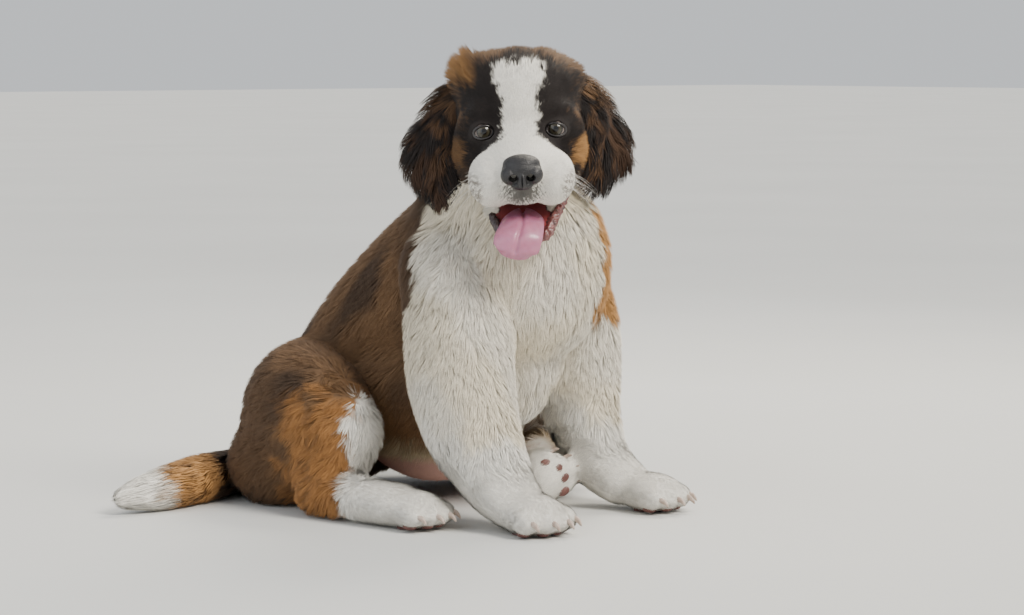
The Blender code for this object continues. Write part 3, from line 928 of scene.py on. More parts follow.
@dataclass
class BodyCoat(AnyCoat):
    """The coat behind the head: its depth, length, lie and markings at any point of the body."""

    body: Body
    trunk: Pelt = Pelt(0.0032, 0.0030, 0.021, 0.0020, 0.0020, 0.20, 0.35)
    ruff: Pelt = Pelt(0.0035, 0.0035, 0.019, 0.0016, 0.0016, 0.26, 0.45)
    leg: Pelt = Pelt(0.0028, 0.0026, 0.014, 0.0015, 0.0015, 0.30, 0.40)
    thigh: Pelt = Pelt(0.0030, 0.0042, 0.017, 0.0017, 0.0018, 0.50, 0.50)
    foot: Pelt = Pelt(0.0018, 0.0002, 0.0060, 0.0010, 0.0012, 0.12, 0.15)
    tail_coat: Pelt = Pelt(0.0050, 0.0040, 0.034, 0.0012, 0.0017, 0.10, 0.30, 0.40)
    brisket: Pelt = Pelt(0.0040, 0.0070, 0.036, 0.0013, 0.0019, 0.20, 0.60, 0.15)
    bare: Pelt = Pelt(0.0015, 0.0010, 0.010, 0.0009, 0.0060, 0.30, 0.20)

    def shares(self, own: Array) -> tuple[list[Pelt], Array]:
        """The kinds of coat and how much of each there is at every point.

        Args:
            own: points in the body's own frame.

        Returns:
            The kinds, and one row of shares a point.
        """
        x, y, z = own.T
        front = ease(y, -0.020, -0.070)
        high = ease(z, 0.15, 0.22)
        foot = np.zeros(len(own))
        for paw in self.body.paws.values():
            reach = np.linalg.norm(own - np.array(paw.centre), axis=1)
            foot = np.maximum(foot, ease(reach, 0.085, 0.060) * ease(z, 0.075, 0.050))
        tail = self.body.on_tail(own)
        under = ease(z, 0.075, 0.045) * ease(np.abs(y - 0.01), 0.075, 0.055) * ease(np.abs(x), 0.125, 0.105)
        side = ease(np.abs(x), 0.090, 0.115) * ease(z, 0.19, 0.15)
        rest = (1 - tail) * (1 - foot) * (1 - under)
        brisket = ease(np.abs(x - 0.01), 0.050, 0.030) * ease(z, 0.145, 0.120) * ease(z, 0.08, 0.10) * front
        kinds = {
            self.ruff: front * high * rest,
            self.brisket: 1.6 * brisket * rest,
            self.leg: front * (1 - high) * rest,
            self.thigh: (1 - front) * side * rest,
            self.trunk: (1 - front) * (1 - side) * rest + 1e-6,
            self.foot: foot * (1 - tail),
            self.tail_coat: tail,
            self.bare: under * (1 - foot) * (1 - tail),
        }
        return list(kinds), np.stack(list(kinds.values()), 1)

    def lies(self, own: Array) -> Array:
        """The way the coat lies: down, rearward over the trunk, out along tail and toes.

        Args:
            own: points in the body's own frame.

        Returns:
            One direction a point.
        """
        back = ease(own[:, 1], -0.11, 0.03)
        out = np.sign(own[:, 0]) * ease(np.abs(own[:, 0]), 0.05, 0.10)
        lie = np.stack([0.30 * out * back, 0.85 * back, -np.ones(len(own))], 1)
        for paw in self.body.paws.values():
            near = ease(np.linalg.norm(own - np.array(paw.centre), axis=1), 0.085, 0.050)
            lie = mixed(lie, np.array(paw.way) - 0.25 * np.array(paw.back), near)
        return unit(mixed(lie, self.body.tail_lie(own), self.body.on_tail(own)))

    def markings(self, own: Array) -> Array:
        """The colour of the coat at each point.

        Args:
            own: points in the body's own frame.

        Returns:
            One colour a point.
        """
        x, y, z = own.T
        ragged = Ripples(11, 0.030).at(own)
        broad = Ripples(12, 0.110).at(own)
        fine = Ripples(13, 0.012).at(own)
        # Brown saddle, deepest just behind the white shoulder and warmer low on the flank.
        colour = mixed(np.tile(SHADES.brown, (len(own), 1)), np.array(SHADES.umber), ease(broad, 0.2, 1.8))
        seam = -0.92 * (y + 0.052) + 0.39 * (z - 0.250) + 0.004 * ragged + 0.002 * fine
        seam = seam - 0.034 * ease(x, 0.0, -0.04) * ease(z, 0.20, 0.24)
        low = ease(z, 0.215, 0.13)
        seam = seam * (1 - low) + (-(y + 0.074) + 0.004 * ragged) * low
        colour = mixed(colour, np.array(SHADES.umber), 0.75 * ease(seam, -0.085, -0.015) * ease(z, 0.10, 0.2))
        flank = ease(np.abs(x), 0.125, 0.105)
        glow = ease(z, 0.15, 0.08) * ease(y, 0.10, 0.02) * flank
        colour = mixed(colour, np.array(SHADES.orange), 0.30 * glow)
        pale = ease(z, 0.085, 0.055) * ease(y, 0.09, 0.03) * flank
        colour = mixed(colour, np.array(SHADES.cream), 0.6 * pale)
        # Thighs: umber over the rear as painted shade, a rough orange patch in front as painted sunlight on
        # the brown coat, and a white strip up the front of the knee.
        out = -0.766 * np.abs(x) - 0.643 * y
        thigh = ease(np.abs(x), 0.108, 0.122) * ease(y, -0.16, -0.13) * ease(z, 0.20, 0.17)
        # Painted shade: umber over the rear of the thigh.
        rear_painted_shade = thigh * ease(out + 0.006 * ragged, -0.170, -0.195)
        colour = mixed(colour, np.array(SHADES.umber), 0.55 * rear_painted_shade)
        # Painted sunlight: orange on the front of the brown thigh, with darker mottles.
        patch = thigh * ease(out + 0.005 * ragged, -0.186, -0.166) * ease(z + 0.006 * ragged, 0.138, 0.116)
        colour = mixed(colour, np.array(SHADES.orange), 0.9 * patch)
        colour = mixed(colour, np.array(SHADES.umber), 0.45 * patch * ease(fine + 0.6 * ragged, 0.3, 1.5))
        strip = out + 0.109 - 0.9 * np.maximum(z - 0.112, 0) + 0.004 * ragged + 0.002 * fine
        colour = mixed(colour, np.array(SHADES.white), thigh * ease(strip, -0.003, 0.005))
        # White shoulders, chest, forelegs and collar, with tan on the left shoulder.
        left = ease(x, 0.050, 0.080) * ease(z, 0.195, 0.225) * ease(z, 0.385, 0.36)
        view = 0.766 * x - 0.643 * y
        edge = view + 0.003 * ragged - 0.1535 + 0.33 * np.maximum(z - 0.285, 0)
        round_it = ease(edge, 0.0, 0.007) * ease(z + 0.004 * ragged, 0.197, 0.212) * ease(z, 0.352, 0.335)
        round_it *= ease(x, 0.02, 0.04)
        seam = seam - 0.086 * left - 0.2 * round_it
        white = np.tile(SHADES.white, (len(own), 1))
        white = mixed(white, np.array(SHADES.cream), 0.28 + 0.30 * ease(broad, -0.8, 1.2))
        # Creamier throat: partly the coat's own cream, partly painted warm sunlight.
        throat = ease(y, -0.13, -0.16) * ease(z, 0.30, 0.35)
        white = mixed(white, np.array(SHADES.cream), 0.7 * throat)
        behind = mixed(colour, np.array(SHADES.tan), np.maximum(left * ease(y, -0.03, -0.07), round_it))
        colour = mixed(behind, white, ease(seam, -0.004, 0.005))
        # Feet and the hind paw turned up between the forelegs.
        for name, paw in self.body.paws.items():
            reach = np.linalg.norm(own - np.array(paw.centre), axis=1)
            near = ease(reach + 0.004 * ragged, 0.105 if "hind" in name else 0.09, 0.075)
            colour = mixed(colour, np.array(SHADES.white), near * ease(out + 0.003 * ragged, -0.118, -0.110))
        # The tail darkens from its root, turns tan and ends white.
        tail = self.body.on_tail(own)
        rows = np.tile(SHADES.umber, (len(own), 1))
        rows = mixed(rows, np.array(SHADES.tan), ease(x + 0.006 * ragged, -0.178, -0.205))
        rows = mixed(rows, np.array(SHADES.umber), 0.6 * ease(fine + ragged, 0.6, 1.6))
        rows = mixed(rows, np.array(SHADES.white), ease(x + 0.006 * ragged, -0.264, -0.282))
        colour = colour + (rows - colour) * tail[:, None]
        # Bare pink belly between the hind feet.
        bare = ease(z, 0.062, 0.045) * ease(np.abs(y - 0.01), 0.075, 0.055) * ease(np.abs(x), 0.125, 0.105)
        return mixed(colour, np.array(SHADES.pink), 0.85 * bare)

    def field(self, own: Array) -> Lay:
        """All that the coat is at points of the body's own frame."""
        return Lay.of(self, own, self.lies(own), Pelt.blend(*self.shares(own)))


@dataclass
class Head:
    """The head without its ears: skull, cheeks, muzzle, flews and the open mouth."""

    voxel: float = 0.0017
    rounds: int = 56
    detail_voxel: float = 0.0012
    detail_rounds: int = 5
    skull: Ball = ((0, 0.004, 0.014), (0.068, 0.082, 0.066))
    crown: Ball = ((0.026, 0.004, 0.040), (0.040, 0.062, 0.038))
    forehead: Ball = ((0, -0.034, 0.026), (0.054, 0.040, 0.046))
    cheek: Ball = ((0.040, -0.016, -0.026), (0.034, 0.050, 0.044))
    foreface: Ball = ((0.029, -0.034, -0.006), (0.040, 0.036, 0.042))
    brow: Ball = ((0.033, -0.052, 0.020), (0.022, 0.017, 0.013))
    lids: Ball = ((0.0375, -0.0600, 0.0), (0.0175, 0.0130, 0.0140))
    muzzle: tuple[Station, ...] = (
        ((0, -0.040, -0.014), 0.044, 0.036),
        ((0, -0.080, -0.026), 0.040, 0.032),
        ((0, -0.112, -0.036), 0.036, 0.027),
    )
    flew: Ball = ((0.029, -0.094, -0.046), (0.027, 0.040, 0.031))
    upper_lip: Ball = ((0, -0.112, -0.056), (0.024, 0.022, 0.018))
    palate: Ball = ((0, -0.084, -0.078), (0.021, 0.056, 0.016))
    palate_turn: float = 14.0
    jaw: tuple[Station, ...] = (
        ((0, -0.004, -0.056), 0.046, 0.030),
        ((0, -0.055, -0.080), 0.042, 0.018),
        ((0, -0.098, -0.096), 0.033, 0.012),
    )
    philtrum: Ball = ((0, -0.1345, -0.062), (0.0012, 0.0060, 0.0130))
    socket: float = 0.0126
    slit: Point = (0.0116, 0.020, 0.0086)
    slant: float = 8.0

    def build(self, coat: "HeadCoat") -> Object:
        """The bare head and jaw, lying under their forms by the coat's depth.

        Args:
            coat: the coat that grows on it.

        Returns:
            The head.
        """
        clay = Clay(HEAD_PLACE)
        clay.ball(self.skull).ball(self.forehead).ball(self.upper_lip).limb(self.muzzle)
        for form in (self.crown, self.cheek, self.foreface, self.brow, self.lids, self.flew):
            clay.pair(form)
        head = clay.fuse("head", self.voxel, self.rounds)
        carve(head, Clay(HEAD_PLACE).ball(self.palate, (self.palate_turn, 0, 0)).solid("palate"))
        carve(head, Clay(HEAD_PLACE).ball(self.philtrum).solid("philtrum"))
        carve(head, Clay(HEAD_PLACE).limb(self.jaw).fuse("jaw", self.voxel, 8), "UNION")
        self.refine(head)
        points = places(head.data)
        own = in_frame(points, HEAD_PLACE)
        depth = coat.field(own).sink
        move_to(head.data, points - normals(head.data) * depth[:, None])
        for side in Side:
            x, y, z = EYE_CENTRE
            eye = (side.value * x, y, z)
            front = (eye[0], eye[1] - self.socket, eye[2])
            turn = (0, side.value * self.slant, 0)
            carve(head, Clay(HEAD_PLACE).ball((front, self.slit), turn).solid("slit"))
            carve(head, Clay(HEAD_PLACE).ball((eye, (self.socket,) * 3)).solid("socket"))
        return head

    def refine(self, head: Object) -> None:
        """Remeshes the head finely enough for its small folds.

        Args:
            head: the head.
        """
        remesh = head.modifiers.new("Refine", "REMESH")
        remesh.mode = "VOXEL"
        remesh.voxel_size = self.detail_voxel
        smooth = head.modifiers.new("Soften", "SMOOTH")
        smooth.factor = 0.5
        smooth.iterations = self.detail_rounds
        apply_modifiers(head)


@dataclass
class HeadCoat(AnyCoat):
    """The short coat of the face and the longer one of crown, cheeks and jaw."""

    head: Head
    nose: Point = (0.0, -0.148, -0.040)
    nose_pad: Ball = ((0, -0.136, -0.037), (0.0220, 0.0180, 0.0180))
    lip: float = 1.20
    muzzle: Pelt = Pelt(0.0014, 0.0002, 0.0050, 0.00090, 0.00100, 0.10, 0.10)
    brow: Pelt = Pelt(0.0018, 0.0004, 0.0070, 0.00105, 0.00110, 0.12, 0.15)
    cheek: Pelt = Pelt(0.0024, 0.0014, 0.0120, 0.00120, 0.00130, 0.22, 0.30)
    crown: Pelt = Pelt(0.0024, 0.0048, 0.0150, 0.00110, 0.00130, 0.24, 0.40, 0.70)
    temple: Pelt = Pelt(0.0024, 0.0070, 0.0200, 0.00125, 0.00135, 0.30, 0.50, 0.35)
    topknot: Pelt = Pelt(0.0024, 0.0080, 0.0190, 0.00125, 0.00140, 0.45, 0.55, 0.10)
    throat: Pelt = Pelt(0.0030, 0.0030, 0.0160, 0.00130, 0.00160, 0.30, 0.40)

    def shares(self, own: Array) -> tuple[list[Pelt], Array]:
        """The kinds of coat and how much of each there is at every point.

        Args:
            own: points in the head's own frame.

        Returns:
            The kinds, and one row of shares a point.
        """
        x, y, z = own.T
        back = ease(y, -0.035, 0.005)
        top = ease(z, 0.050, 0.075)
        snout = ease(y, -0.060, -0.085)
        low = ease(z, -0.055, -0.080) * (1 - ease(y, -0.075, -0.10) * ease(z, -0.085, -0.07))
        cheek = ease(np.abs(x), 0.036, 0.056) * ease(z, 0.015, -0.015)
        temple = ease(np.abs(x), 0.046, 0.060) * ease(z, 0.025, 0.045) * ease(y, -0.040, -0.020)
        kinds = {
            self.throat: low,
            self.temple: 2.0 * temple,
            self.topknot: 9.0 * self.on_topknot(own),
            self.crown: np.maximum(back, top) * (1 - low),
            self.muzzle: snout * (1 - low),
            self.cheek: cheek * (1 - snout) * (1 - back) * (1 - low),
            self.brow: (1 - cheek) * (1 - snout) * (1 - back) * (1 - top) * (1 - low) + 1e-6,
        }
        return list(kinds), np.stack(list(kinds.values()), 1)

    def in_mouth(self, own: Array) -> Array:
        """How far out from the middle of the mouth each point is, its wall being at 1.

        Args:
            own: points in the head's own frame.

        Returns:
            One distance a point.
        """
        (x, y, z), half = self.head.palate
        turn = np.array(turned((self.head.palate_turn, 0, 0)))[:3, :3]
        return np.linalg.norm((own - np.array((x, y, z))) @ turn / np.array(half), axis=1)

    def bald(self, own: Array) -> Array:
        """Whether nothing grows at a point: in the mouth, at the nose and in the eyes' openings.

        Args:
            own: points in the head's own frame.

        Returns:
            One truth value a point.
        """
        x, y, z = own.T
        nose = np.linalg.norm((own - np.array(self.nose_pad[0])) / np.array(self.nose_pad[1]), axis=1) < 1
        eye = (np.hypot((np.abs(x) - EYE_CENTRE[0]) / 0.0136, z / 0.0106) < 1) & (y < -0.050)
        return nose | eye | (self.in_mouth(own) < self.lip_at(own))

    def lip_at(self, own: Array) -> Array:
        """How far out from the middle of the mouth its lip runs, further on the jaw."""
        return self.lip + 0.28 * ease(own[:, 2], -0.081, -0.085)

    def bare_colour(self, own: Array, colours: Array) -> Array:
        """The colour of the skin at each point: the coat's, with dark lips and lids and a red mouth.

        Args:
            own: points in the head's own frame.
            colours: those of the coat there.

        Returns:
            One colour a point.
        """
        x, y, z = own.T
        eye = ease(np.hypot((np.abs(x) - EYE_CENTRE[0]) / 0.016, z / 0.013), 1.1, 0.9) * ease(y, -0.04, -0.05)
        mouth = self.in_mouth(own)
        colours = mixed(colours, np.array(SHADES.black), eye)
        lip = self.lip_at(own)
        colours = mixed(colours, np.array(SHADES.lip), ease(mouth - lip, 0.05, 0.0))
        return mixed(colours, np.array(SHADES.mouth), ease(mouth - lip, -0.02, -0.08))

    def on_topknot(self, own: Array) -> Array:
        """How surely each point is on the fluffy tuft over the right ear's root."""
        x, y, z = own.T
        return ease(x, -0.036, -0.050) * ease(z, 0.042, 0.056) * ease(y, -0.045, -0.025)

    def lies(self, own: Array) -> Array:
        """The way the coat lies: away from the nose, and down behind the skull.

        Args:
            own: points in the head's own frame.

        Returns:
            One direction a point.
        """
        lie = unit(own - np.array(self.nose))
        lie[:, 2] += 0.25 * ease(own[:, 2], 0.0, 0.04) - 0.55 * ease(own[:, 2], -0.02, -0.06)
        lie[:, 2] -= 1.6 * ease(own[:, 1], -0.01, 0.05)
        side = ease(np.abs(own[:, 0]), 0.030, 0.055) * ease(own[:, 2], 0.010, 0.040)
        lie[:, 0] += 0.9 * side * np.sign(own[:, 0])
        lie[:, 2] -= 0.5 * side
        lie[:, 2] += 1.3 * self.on_topknot(own)
        return unit(lie)

    def markings(self, own: Array) -> Array:
        """The colour of the coat at each point.

        Args:
            own: points in the head's own frame.

        Returns:
            One colour a point.
        """
        x, y, z = own.T
        ragged = Ripples(21, 0.014).at(own)
        fine = Ripples(22, 0.005).at(own)
        jag = 0.0012 * ragged + 0.0009 * fine
        # Dark mask over the eyes and sides, turning brown over the crown's edges and behind.
        colour = np.tile(SHADES.black, (len(own), 1))
        rim = ease(z + 0.42 * np.abs(x) + 0.30 * y + 2.5 * jag, 0.070, 0.088)
        colour = mixed(colour, np.array(SHADES.brown), rim * (0.80 - 0.25 * ease(fine, 0.2, 1.2)))
        tuft = ease(x, -0.040, -0.056) * ease(z + 2 * jag, 0.040, 0.056)
        colour = mixed(colour, np.array(SHADES.tan), 0.55 * tuft)
        side = ease(np.abs(x) - 0.25 * y + 2 * jag, 0.066, 0.080) * ease(z, -0.005, 0.02)
        colour = mixed(colour, np.array(SHADES.brown), 0.75 * side)
        behind = ease(y, -0.01, 0.03)
        colour = mixed(colour, np.array(SHADES.brown), behind * (0.55 + 0.25 * ease(ragged, -1, 1)))
        # Tan cheeks, weaker on the right one as painted shade.
        warm = ease(np.hypot((np.abs(x) - 0.066) / 0.014, (z + 0.024) / 0.017) + 90 * jag, 1.25, 0.45)
        # Painted shade: less tan on the right cheek than on the left.
        colour = mixed(colour, np.array(SHADES.tan), np.where(x > 0, 0.70, 0.22) * warm * ease(y, 0.03, 0.0))
        # White blaze that widens into the muzzle.
        half = 0.0175 + 0.013 * ease(z, 0.030, 0.070) + 0.030 * ease(z, -0.008, -0.045)
        half += 0.030 * ease(y, -0.080, -0.105) * ease(z, 0.0, -0.02)
        middle = 0.0025 * ease(z, 0.02, 0.07)
        half *= np.sqrt(np.clip(1 - (np.clip(z - 0.050, 0, None) / 0.026) ** 2, 0.0, 1))
        blaze = ease(np.abs(x - middle) + 1.5 * jag, half + 0.0030, half - 0.0030)
        notch = 0.004 * ease(np.abs(x - 0.002), 0.008, 0.003)
        blaze *= ease(z + 1.6 * jag + notch, 0.0735, 0.0680) * ease(y, 0.01, -0.01)
        colour = mixed(colour, np.array(SHADES.white), blaze)
        # Lower face, jaw and throat: white, creamier toward the throat.
        low = ease(z + 2 * jag, -0.052, -0.060) * ease(y, 0.03, 0.0)
        jaw = mixed(np.tile(SHADES.white, (len(own), 1)), np.array(SHADES.cream), 0.6 * ease(z, -0.07, -0.10))
        colour = colour + (jaw - colour) * low[:, None]
        corner = ease(np.hypot((np.abs(x) - 0.053) / 0.014, (z + 0.056) / 0.020), 1.2, 0.6)
        colour = mixed(colour, np.array(SHADES.umber), 0.75 * corner * ease(fine, -0.8, 0.6))
        # Dark speckles on the lip under the nose.
        reach = np.hypot(x / 0.020, (z + 0.057) / 0.015)
        speckle = ease(reach + 0.22 * Ripples(23, 0.003).at(own), 1.15, 0.60) * ease(y, -0.10, -0.12)
        return mixed(colour, np.array(SHADES.black), 0.85 * speckle)

    def field(self, own: Array) -> Lay:
        """All that the coat is at points of the head's own frame."""
        return Lay.of(self, own, self.lies(own), Pelt.blend(*self.shares(own)))


@dataclass
class Ear(AnyCoat):
    """One drop ear: a soft flap that folds over at its root and hangs beside the cheek."""

    side: Side
    voxel: float = 0.0016
    rounds: int = 10
    stations: tuple[Station, ...] = (
        ((0.046, 0.014, 0.054), 0.024, 0.014),
        ((0.066, 0.008, 0.042), 0.028, 0.013),
        ((0.083, 0.000, 0.018), 0.034, 0.012),
        ((0.094, -0.006, -0.010), 0.040, 0.011),
        ((0.096, -0.012, -0.036), 0.036, 0.010),
        ((0.089, -0.018, -0.060), 0.023, 0.008),
        ((0.082, -0.022, -0.082), 0.010, 0.006),
    )
    across: Point = (0.75, 0.66, 0.0)
    cup: float = 0.25
    thin: float = 0.55
    narrow: float = 0.84
    hang: float = 1.0  # how far down its lower part reaches
    drop: float = 0.0  # how far its root is set down
    spread: float = 1.0  # how far it stands out from the head
    fur: Pelt = Pelt(0.0, 0.0055, 0.020, 0.0012, 0.0014, 0.40, 0.55, 0.70)
    fringe: Pelt = Pelt(0.0, 0.0110, 0.028, 0.0012, 0.0014, 0.55, 0.70, 0.20)
    middles: tuple[tuple[float, float], ...] = (
        (-0.082, 0.082), (-0.060, 0.089), (-0.036, 0.096), (-0.010, 0.094), (0.018, 0.083), (0.054, 0.046)
    )

    def build(self) -> Object:
        """The bare flap.

        Returns:
            The flap.
        """
        sign = self.side.value
        rows = tuple(
            (
                (sign * x * self.spread, y, z - self.drop if z > 0 else z * self.hang),
                wide * self.narrow,
                deep * self.thin,
            )
            for (x, y, z), wide, deep in self.stations
        )
        across = (sign * self.across[0], self.across[1], self.across[2])
        clay = Clay(HEAD_PLACE).limb(rows, side=across, cup=-sign * self.cup)
        return clay.fuse("flap_" + self.side.word, self.voxel, self.rounds)

    def field(self, own: Array) -> Lay:
        """All that the ear's coat is at points of the head's own frame.

        Args:
            own: the points.

        Returns:
            The coat at each point.
        """
        x, _, z = own.T
        middle = np.interp(z, *np.array(self.middles).T)
        edge = np.clip((np.abs(x) - middle) / 0.03, -1.2, 1.2)
        low = ease(z, 0.005, -0.055)
        share = np.clip(low + ease(edge, 0.1, 0.7), 0, 1)
        values = Pelt.blend([self.fur, self.fringe], np.stack([1 - share + 1e-6, share], 1))
        out = 0.35 * ease(z, -0.01, 0.05) + 0.50 * edge * ease(z, -0.06, -0.02) - 0.35 * ease(z, -0.03, -0.06)
        lie = np.stack([self.side.value * out, 0.0 * z, -np.ones(len(z))], 1)
        return Lay.of(self, own, unit(lie), values)

    def markings(self, own: Array) -> Array:
        """The colour of the coat at each point.

        Args:
            own: points in the head's own frame.

        Returns:
            One colour a point.
        """
        x, _, z = own.T
        ragged = Ripples(31 + self.side.value, 0.014).at(own * np.array([1.0, 1.0, 0.3]))
        # Dark brown streaks in the black: partly the ear's own colour, partly painted sheen.
        colour = mixed(np.tile(SHADES.black, (len(own), 1)), np.array(SHADES.ear), ease(ragged, -0.8, 0.8))
        top = ease(z + 0.006 * ragged, 0.014, 0.040) * (1.0 if self.side is Side.LEFT else 0.35)
        colour = mixed(colour, np.array(SHADES.brown), 0.85 * top)
        # Brown patches low on the flap: partly painted sheen on the black coat.
        inner = ease(np.abs(x), 0.104, 0.084) * ease(z, -0.070, -0.045)
        return mixed(colour, np.array(SHADES.brown), 0.28 * inner * ease(ragged, 0.0, 1.4))


class Unwrap:
    """A flat map of the skin's own shape, read at any point near it."""

    faces = 9000
    margin = 0.003

    def __init__(self, skin: Object) -> None:
        """Unwraps a coarser copy of the skin.

        Args:
            skin: the skin.
        """
        copy = link("unwrap", skin.data.copy())
        fewer = copy.modifiers.new("Fewer faces", "DECIMATE")
        fewer.ratio = min(1.0, self.faces / (2 * len(copy.data.polygons)))
        fewer.use_collapse_triangulate = True
        apply_modifiers(copy)
        bpy.ops.object.select_all(action="DESELECT")
        copy.select_set(True)
        bpy.context.view_layer.objects.active = copy
        copy.data.uv_layers.new(name="OFBake")
        bpy.ops.object.mode_set(mode="EDIT")
        bpy.ops.mesh.select_all(action="SELECT")
        bpy.ops.uv.smart_project(angle_limit=1.15, island_margin=self.margin, scale_to_bounds=True)
        bpy.ops.object.mode_set(mode="OBJECT")
        mesh = copy.data
        flat = np.empty(len(mesh.loops) * 2, np.float32)
        mesh.uv_layers["OFBake"].uv.foreach_get("vector", flat)
        self.flat = flat.reshape(-1, 3, 2).astype(float)
        corners = np.empty(len(mesh.loops), np.int32)
        mesh.loops.foreach_get("vertex_index", corners)
        self.corners = places(mesh)[corners].reshape(-1, 3, 3)
        self.tree = tree_of(copy)
        bpy.data.objects.remove(copy)

    def at(self, points: Array) -> Array:
        """The place on the map of the surface point nearest to each point.

        Args:
            points: the points.

        Returns:
            One place on the map a point.
        """
        found = [self.tree.find_nearest(point) for point in points.tolist()]
        face = np.array([row[2] for row in found])
        on = np.array([row[0] for row in found])
        a, b, c = (self.corners[face, k] for k in range(3))
        side, other, gap = b - a, c - a, on - a
        ss, so, oo = (side * side).sum(1), (side * other).sum(1), (other * other).sum(1)
        gs, go = (gap * side).sum(1), (gap * other).sum(1)
        area = np.maximum(ss * oo - so * so, 1e-18)
        v = np.clip((oo * gs - so * go) / area, 0, 1)
        w = np.clip((ss * go - so * gs) / area, 0, 1)
        parts = np.stack([1 - v - w, v, w], 1)
        return (parts[:, :, None] * self.flat[face]).sum(1)


@dataclass
class Fence:
    """Something that tufts keep clear of."""

    tree: BVHTree
    gap: float

    def clears(self, points: Array) -> Array:
        """Whether each point stands outside, by the gap at least."""
        on, up, far = nearest(self.tree, points)
        return (far > self.gap) & (((points - on) * up).sum(1) > 0)


@dataclass
class Ground:
    """A surface that coat grows from, with its own frame and its own kinds of coat."""

    name: str
    body: Object
    place: Matrix
    coat: AnyCoat
    fences: list[Fence]
    slot: Slot


@dataclass
class Coat:
    """Every tuft of the coat, grown on the grounds and joined into pieces."""

    skin: Object
    finish: CoatFinish
    seed: int = 7
    on_skin: float = 0.0006
    root_depth: float = 0.0012
    triangles_in_piece: int = 190000
    over_floor: float = 0.0004
    classes: tuple[str, ...] = ("short", "middle", "long")
    bend_over: tuple[float, ...] = (0.0260, 0.036)  # longer tufts have one bend more each time
    clump_size: float = 0.010
    softness: float = 0.80
    patch: float = 0.003
    unlike: float = 0.07
    width_along: tuple[float, ...] = (0.95, 1.0, 0.70, 0.0)
    thickness: float = 0.22
    # Painted shade along each tuft: darker at the root, where the coat shades itself, lighter toward the tip.
    painted_root_shade_along: tuple[float, ...] = (0.88, 0.96, 1.02, 1.06)

    def __post_init__(self) -> None:
        """Prepares what every ground needs."""
        self.draw = np.random.default_rng(self.seed)
        self.tree = tree_of(self.skin)
        self.map = Unwrap(self.skin)
        self.fur = self.finish.material()

    def grow(self, ground: Ground) -> list[Object]:
        """Covers a ground with tufts.

        Args:
            ground: the surface, with its coat.

        Returns:
            The pieces of coat, each within the limit on triangles.
        """
        roots, ups = self.roots(ground)
        own = in_frame(roots, ground.place)
        lay = ground.coat.field(own)
        lay.length = lay.length * self.draw.uniform(0.75, 1.2, len(roots))
        tree = tree_of(ground.body)
        bends = np.digitize(lay.length, self.bend_over) + 1
        pieces = []
        for steps in range(1, len(self.bend_over) + 2):
            some = bends == steps
            if not some.any():
                continue
            part = lay.at(some)
            lines, overs = self.lines(ground, tree, roots[some], ups[some], part, steps)
            keep = lines[:, :, 2].min(1) > self.over_floor
            for fence in ground.fences:
                for k in range(1, steps + 1):
                    keep &= fence.clears(lines[:, k])
            order = np.flatnonzero(keep)
            order = order[np.argsort(own[some][order] @ np.array([0.35, 1.0, 0.25]), kind="stable")]
            triangles = 6 * steps - 2
            count = math.ceil(len(order) * triangles / self.triangles_in_piece)
            for k, rows in enumerate(np.array_split(order, max(1, count))):
                name = f"coat_{ground.name}_{self.classes[steps - 1]}_{k + 1}"
                at_rows = (lines[rows], overs[rows], ups[some][rows], part.at(rows))
                pieces.append(self.piece(name, *at_rows, ground.slot))
        return pieces

    def roots(self, ground: Ground) -> tuple[Array, Array]:
        """Where tufts grow on the skin, and the way up there.

        Args:
            ground: what they grow on.

        Returns:
            The roots, and the surface's normals there.
        """
        mesh = ground.body.data
        mesh.calc_loop_triangles()
        corners = np.empty(len(mesh.loop_triangles) * 3, np.int32)
        mesh.loop_triangles.foreach_get("vertices", corners)
        corners = corners.reshape(-1, 3)
        points, ways = places(mesh), normals(mesh)
        a, b, c = (points[corners[:, k]] for k in range(3))
        area = np.linalg.norm(np.cross(b - a, c - a), axis=1) / 2
        middle = (a + b + c) / 3
        apart = ground.coat.field(in_frame(middle, ground.place)).apart
        wanted = area / apart**2
        count = np.floor(wanted + self.draw.random(len(wanted))).astype(int)
        face = np.repeat(np.arange(len(count)), count)
        u, v = self.draw.random(len(face)), self.draw.random(len(face))
        flip = u + v > 1
        u, v = np.where(flip, 1 - u, u), np.where(flip, 1 - v, v)
        parts = np.stack([1 - u - v, u, v], 1)[:, :, None]
        spots = (parts * points[corners[face]]).sum(1)
        ups = unit((parts * ways[corners[face]]).sum(1))
        grows = nearest(self.tree, spots)[2] < self.on_skin
        grows &= ~ground.coat.bald(in_frame(spots, ground.place))
        return spots[grows], ups[grows]

    def lines(
        self, ground: Ground, tree: BVHTree, roots: Array, ups: Array, lay: Lay, steps: int
    ) -> tuple[Array, Array]:
        """The middle line of each tuft, bent along the ground and drawn into clumps.

        Args:
            ground: what the tufts grow on.
            tree: its surface.
            roots: where they grow.
            ups: the way up there.
            lay: the coat there.
            steps: how many straight parts a line has.

        Returns:
            The points of each line, and the way up at each.
        """
        count = len(roots)
        follow = lay.follow[:, None]
        spin = lay.wave * (0.75 * Ripples(3, 0.028).at(roots) + 0.35 * self.draw.normal(size=count))
        lie = out_of_frame(lay.lie, ground.place)
        off = (lie * ups).sum(1, keepdims=True)
        lie = unit(lie - ups * off * np.where(off > 0, follow, 1.0))
        lie = unit(lie * np.cos(spin)[:, None] + np.cross(ups, lie) * np.sin(spin)[:, None])
        height = (lay.sink + lay.rise) * self.draw.uniform(0.72, 1.08, count)
        line, over = [roots - ups * self.root_depth], [ups]
        place, along = roots, lie
        for k in range(1, steps + 1):
            t = k / steps
            place = place + along * (lay.length / steps)[:, None]
            on, up, _ = nearest(tree, place)
            place = place + (on - place) * follow
            up = unit(ups + (up - ups) * follow)
            along = unit(along - up * (along * up).sum(1, keepdims=True) * follow)
            line.append(place + up * (height * (1 - (1 - t) ** 2))[:, None])
            over.append(up)
        return self.clumped(np.stack(line, 1), roots, lay), np.stack(over, 1)

